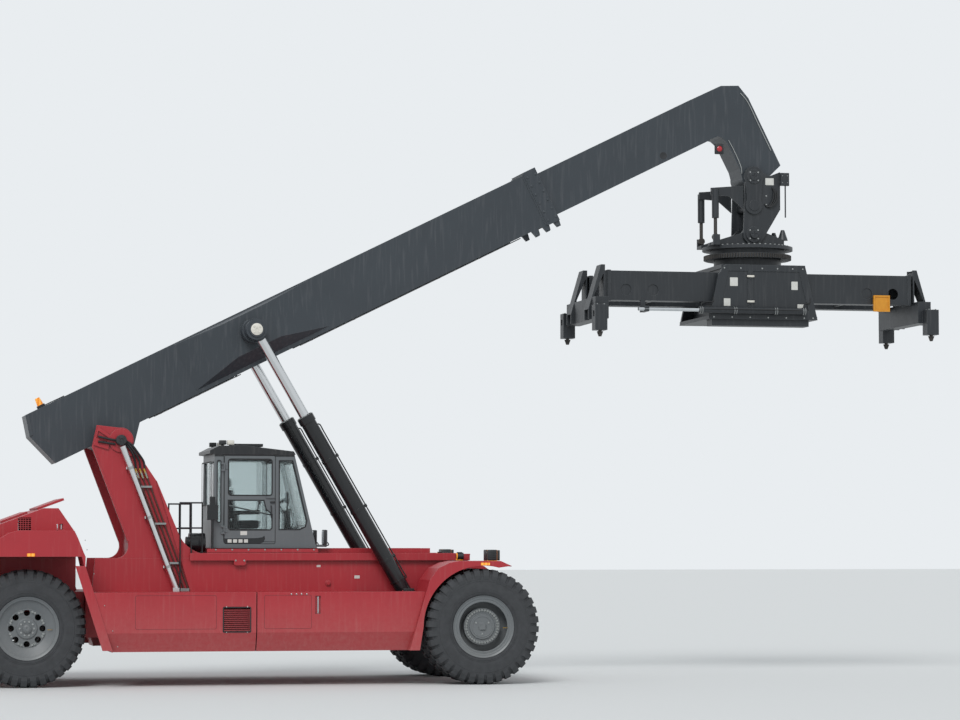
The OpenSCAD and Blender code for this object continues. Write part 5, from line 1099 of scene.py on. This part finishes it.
spreaderSetup = {
    "slewBolts": (48, 730), "slewTop": 7378.65, "teeth": 96, "teethLow": 7160, "teethHigh": 7232,
    "cover": 905, "rodY": -990, "rodZ": 6218.65,
    "plates": ((-590, 6640, -452, 6785), (500, 6590, 612, 6732), (-700, 6300, -584, 6428),
               (606, 6200, 722, 6345)),
    "hinges": (6808.65, 6378.65), "hingeX": -230, "rings": (-1160, -560, 160, 660),
    "screws": (((-690, -400, -20, 250, 520, 700), 6945), ((-880, -560, -240, 80, 400, 720, 880), 6110)),
    "lockHousing": (2926.5, 1129.5, 6268.65), "lockBoltOut": 60,
}
headX, headZ = machine["head"]
slewBolts = bmesh.new()
for place in ringOf(*spreaderSetup["slewBolts"], spreaderSetup["slewTop"] - headZ):
    # Only where the platform's plates leave room for a spanner
    if abs(abs(place.translation.y) - 290) < 130 or place.translation.x < -600:
        continue
    addBolt(slewBolts, headFrame @ place, 30, 17)
finishPiece(slewBolts, "slew_bolts", "platform", zinc)
teeth = bmesh.new()
for i in range(spreaderSetup["teeth"]):
    turn = Matrix.Rotation(math.tau * i / spreaderSetup["teeth"], 4, "Z")
    addPrism(teeth, [(738, -15), (756, -8), (756, 8), (738, 15)], spreaderSetup["teethLow"] - headZ,
             spreaderSetup["teethHigh"] - headZ, headFrame @ turn)
finishPiece(teeth, "slew_ring_teeth", "carriage", iron)

coverPlace = frameAt(headX, 0, 0)
for sideName, side, outward in bothSides:
    plates, hinges = bmesh.new(), bmesh.new()
    for x0, z0, x1, z1 in spreaderSetup["plates"]:
        addPrism(plates, roundedOutline(x0, z0, x1, z1, 8), spreaderSetup["cover"] - 0.5,
                 spreaderSetup["cover"] + 2.5, coverPlace @ outward)
    for z in spreaderSetup["hinges"]:
        x = spreaderSetup["hingeX"]
        addBox(hinges, (x - 62, side * 931 - 12, z - 17), (x + 62, side * 931 + 12, z + 17), 3, coverPlace)
        for offset in (-46, 46):
            addBolt(hinges, coverPlace @ frameAt(x + offset, 0, z) @ outward
                    @ Matrix.Translation((0, 0, 942)), 16, 8)
    finishPiece(plates, f"cover_plates_{sideName}", "carriage", plateFilm)
    finishPiece(hinges, f"cover_hinges_{sideName}", "carriage", palePlastic)
    screws = bmesh.new()
    for row, z in spreaderSetup["screws"]:
        for x in row:
            addBolt(screws, coverPlace @ frameAt(x, 0, z) @ outward
                    @ Matrix.Translation((0, 0, spreaderSetup["cover"] + 14)), 20, 10)
    finishPiece(screws, f"cover_screws_{sideName}", "carriage", zinc)

alongX = Matrix.Rotation(math.radians(90), 4, "Y")
rod, rings, feed = bmesh.new(), bmesh.new(), bmesh.new()
rodPlace = coverPlace @ frameAt(0, spreaderSetup["rodY"], spreaderSetup["rodZ"]) @ alongX
addTurned(rod, [(29, -2225), (30.25, -2225), (30.25, -420), (29, -420)], rodPlace, steps=32, closed=True)
finishPiece(rod, "side_shift_rod", "tubes", chrome)
for x in spreaderSetup["rings"]:
    for offset in (8, 44):
        addTurned(rings, [(63, x + offset), (66, x + offset), (66, x + offset + 9), (63, x + offset + 9)],
                  rodPlace, steps=36, closed=True)
finishPiece(rings, "side_shift_rings", "carriage", zinc)
y, z = spreaderSetup["rodY"], spreaderSetup["rodZ"]
for x, end in ((-1120, -900), (690, 820)):
    addTube(feed, softPath([(x, y, z + 60), (x + 6, y - 4, z + 110), (x + 0.4 * (end - x), y + 30, z + 136),
                            (end, -924, z + 150), (end + 10, -915, z + 230)]), 11, coverPlace)
addTube(feed, softPath([(-1095, y - 52, z + 10), (-700, y - 66, z + 14), (200, y - 66, z + 14),
                        (650, y - 54, z + 10)]), 8, coverPlace)
finishPiece(feed, "side_shift_hoses", "carriage", hoseRubber)

# Ends of the spreader: four bolts on each lock housing
x, y, z = spreaderSetup["lockHousing"]
out = spreaderSetup["lockBoltOut"]
for endName, turn in (("front", ground), ("rear", Matrix.Rotation(math.pi, 4, "Z"))):
    bolts = bmesh.new()
    for side in (1, -1):
        for dx in (-out, out):
            for dy in (-out, out):
                addBolt(bolts, coverPlace @ turn @ Matrix.Translation((x + dx, side * y + dy, z)), 26, 14)
    finishPiece(bolts, f"beam_bolts_{endName}", f"{endName}_beam", zinc)
print("spreader dressed")

# Tail: lamp clusters on the casting's leaning corners

tailSetup = {"face": (-9153.3, 1500, 1560), "lean": 6.65, "width": 300, "height": 130}
for sideName, side, outward in bothSides:
    housing, lenses = bmesh.new(), bmesh.new()
    x, y, z = tailSetup["face"]
    half = tailSetup["width"] / 2
    place = (Matrix.Translation((x, side * y, z))
             @ Matrix.Rotation(math.radians(-tailSetup["lean"] * side), 4, "Z") @ facingBack)
    addBand(housing, roundedOutline(-half, 0, half, tailSetup["height"], 22), 14, 8, -3, 22, place)
    addPrism(housing, roundedOutline(-half + 10, 10, half - 10, tailSetup["height"] - 10, 16), -3, 7, place)
    for i in range(3):
        addTurned(lenses, [(0, 21), (20, 19), (38, 12), (40, 6)],
                  place @ Matrix.Translation(((i - 1) * 90, 65, 0)), steps=28)
    finishPiece(housing, f"tail_lamp_{sideName}", "chassis", blackPlastic)
    finishPiece(lenses, f"tail_lamp_lens_{sideName}", "chassis", redLens)
print("tail dressed")

# Floor and light
stageSetup = {"floorSize": 400.0, "floor": "#D6D8D8", "backdrop": "#E9EDF0", "skyStrength": 0.75,
              "sunStrength": 1.6, "sunSpread": 25.0, "sunTurn": (48, 6, -32)}
floorMesh = bpy.data.meshes.new("floor")
half = stageSetup["floorSize"] / 2
floorMesh.from_pydata([(-half, -half, 0), (half, -half, 0), (half, half, 0), (-half, half, 0)], [],
                      [(0, 1, 2, 3)])
floor = bpy.data.objects.new("floor", floorMesh)
scene.collection.objects.link(floor)
floorMaterial, _, floorShader, _ = startMaterial("paintedConcrete")
floorShader.inputs["Base Color"].default_value = linear(stageSetup["floor"])
floorShader.inputs["Roughness"].default_value = 0.9
floorMesh.materials.append(floorMaterial)

world = bpy.data.worlds.new("studio")
scene.world = world
world.use_nodes = True
worldTree = world.node_tree
sky = worldTree.nodes["Background"]
sky.inputs["Color"].default_value = linear(stageSetup["backdrop"])
sky.inputs["Strength"].default_value = stageSetup["skyStrength"]
backdrop = addNode(worldTree, "ShaderNodeBackground",
                   {"Color": linear(stageSetup["backdrop"]), "Strength": 1.0})
rays = addNode(worldTree, "ShaderNodeLightPath")
seen = addNode(worldTree, "ShaderNodeMath",
               {0: rays.outputs["Is Camera Ray"], 1: rays.outputs["Is Glossy Ray"]},
               operation="MAXIMUM")
seenThrough = addNode(worldTree, "ShaderNodeMath",
                      {0: seen.outputs["Value"], 1: rays.outputs["Is Transmission Ray"]},
                      operation="MAXIMUM")
worldMix = addNode(worldTree, "ShaderNodeMixShader", {"Fac": seenThrough.outputs["Value"],
                                                      1: sky.outputs["Background"],
                                                      2: backdrop.outputs["Background"]})
worldTree.links.new(worldMix.outputs["Shader"], worldTree.nodes["World Output"].inputs["Surface"])

sunData = bpy.data.lights.new("softSun", "SUN")
sunData.energy = stageSetup["sunStrength"]
sunData.angle = math.radians(stageSetup["sunSpread"])
sun = bpy.data.objects.new("softSun", sunData)
sun.rotation_euler = [math.radians(a) for a in stageSetup["sunTurn"]]
scene.collection.objects.link(sun)
scene.view_settings.view_transform = "Standard"
print("stage lit")
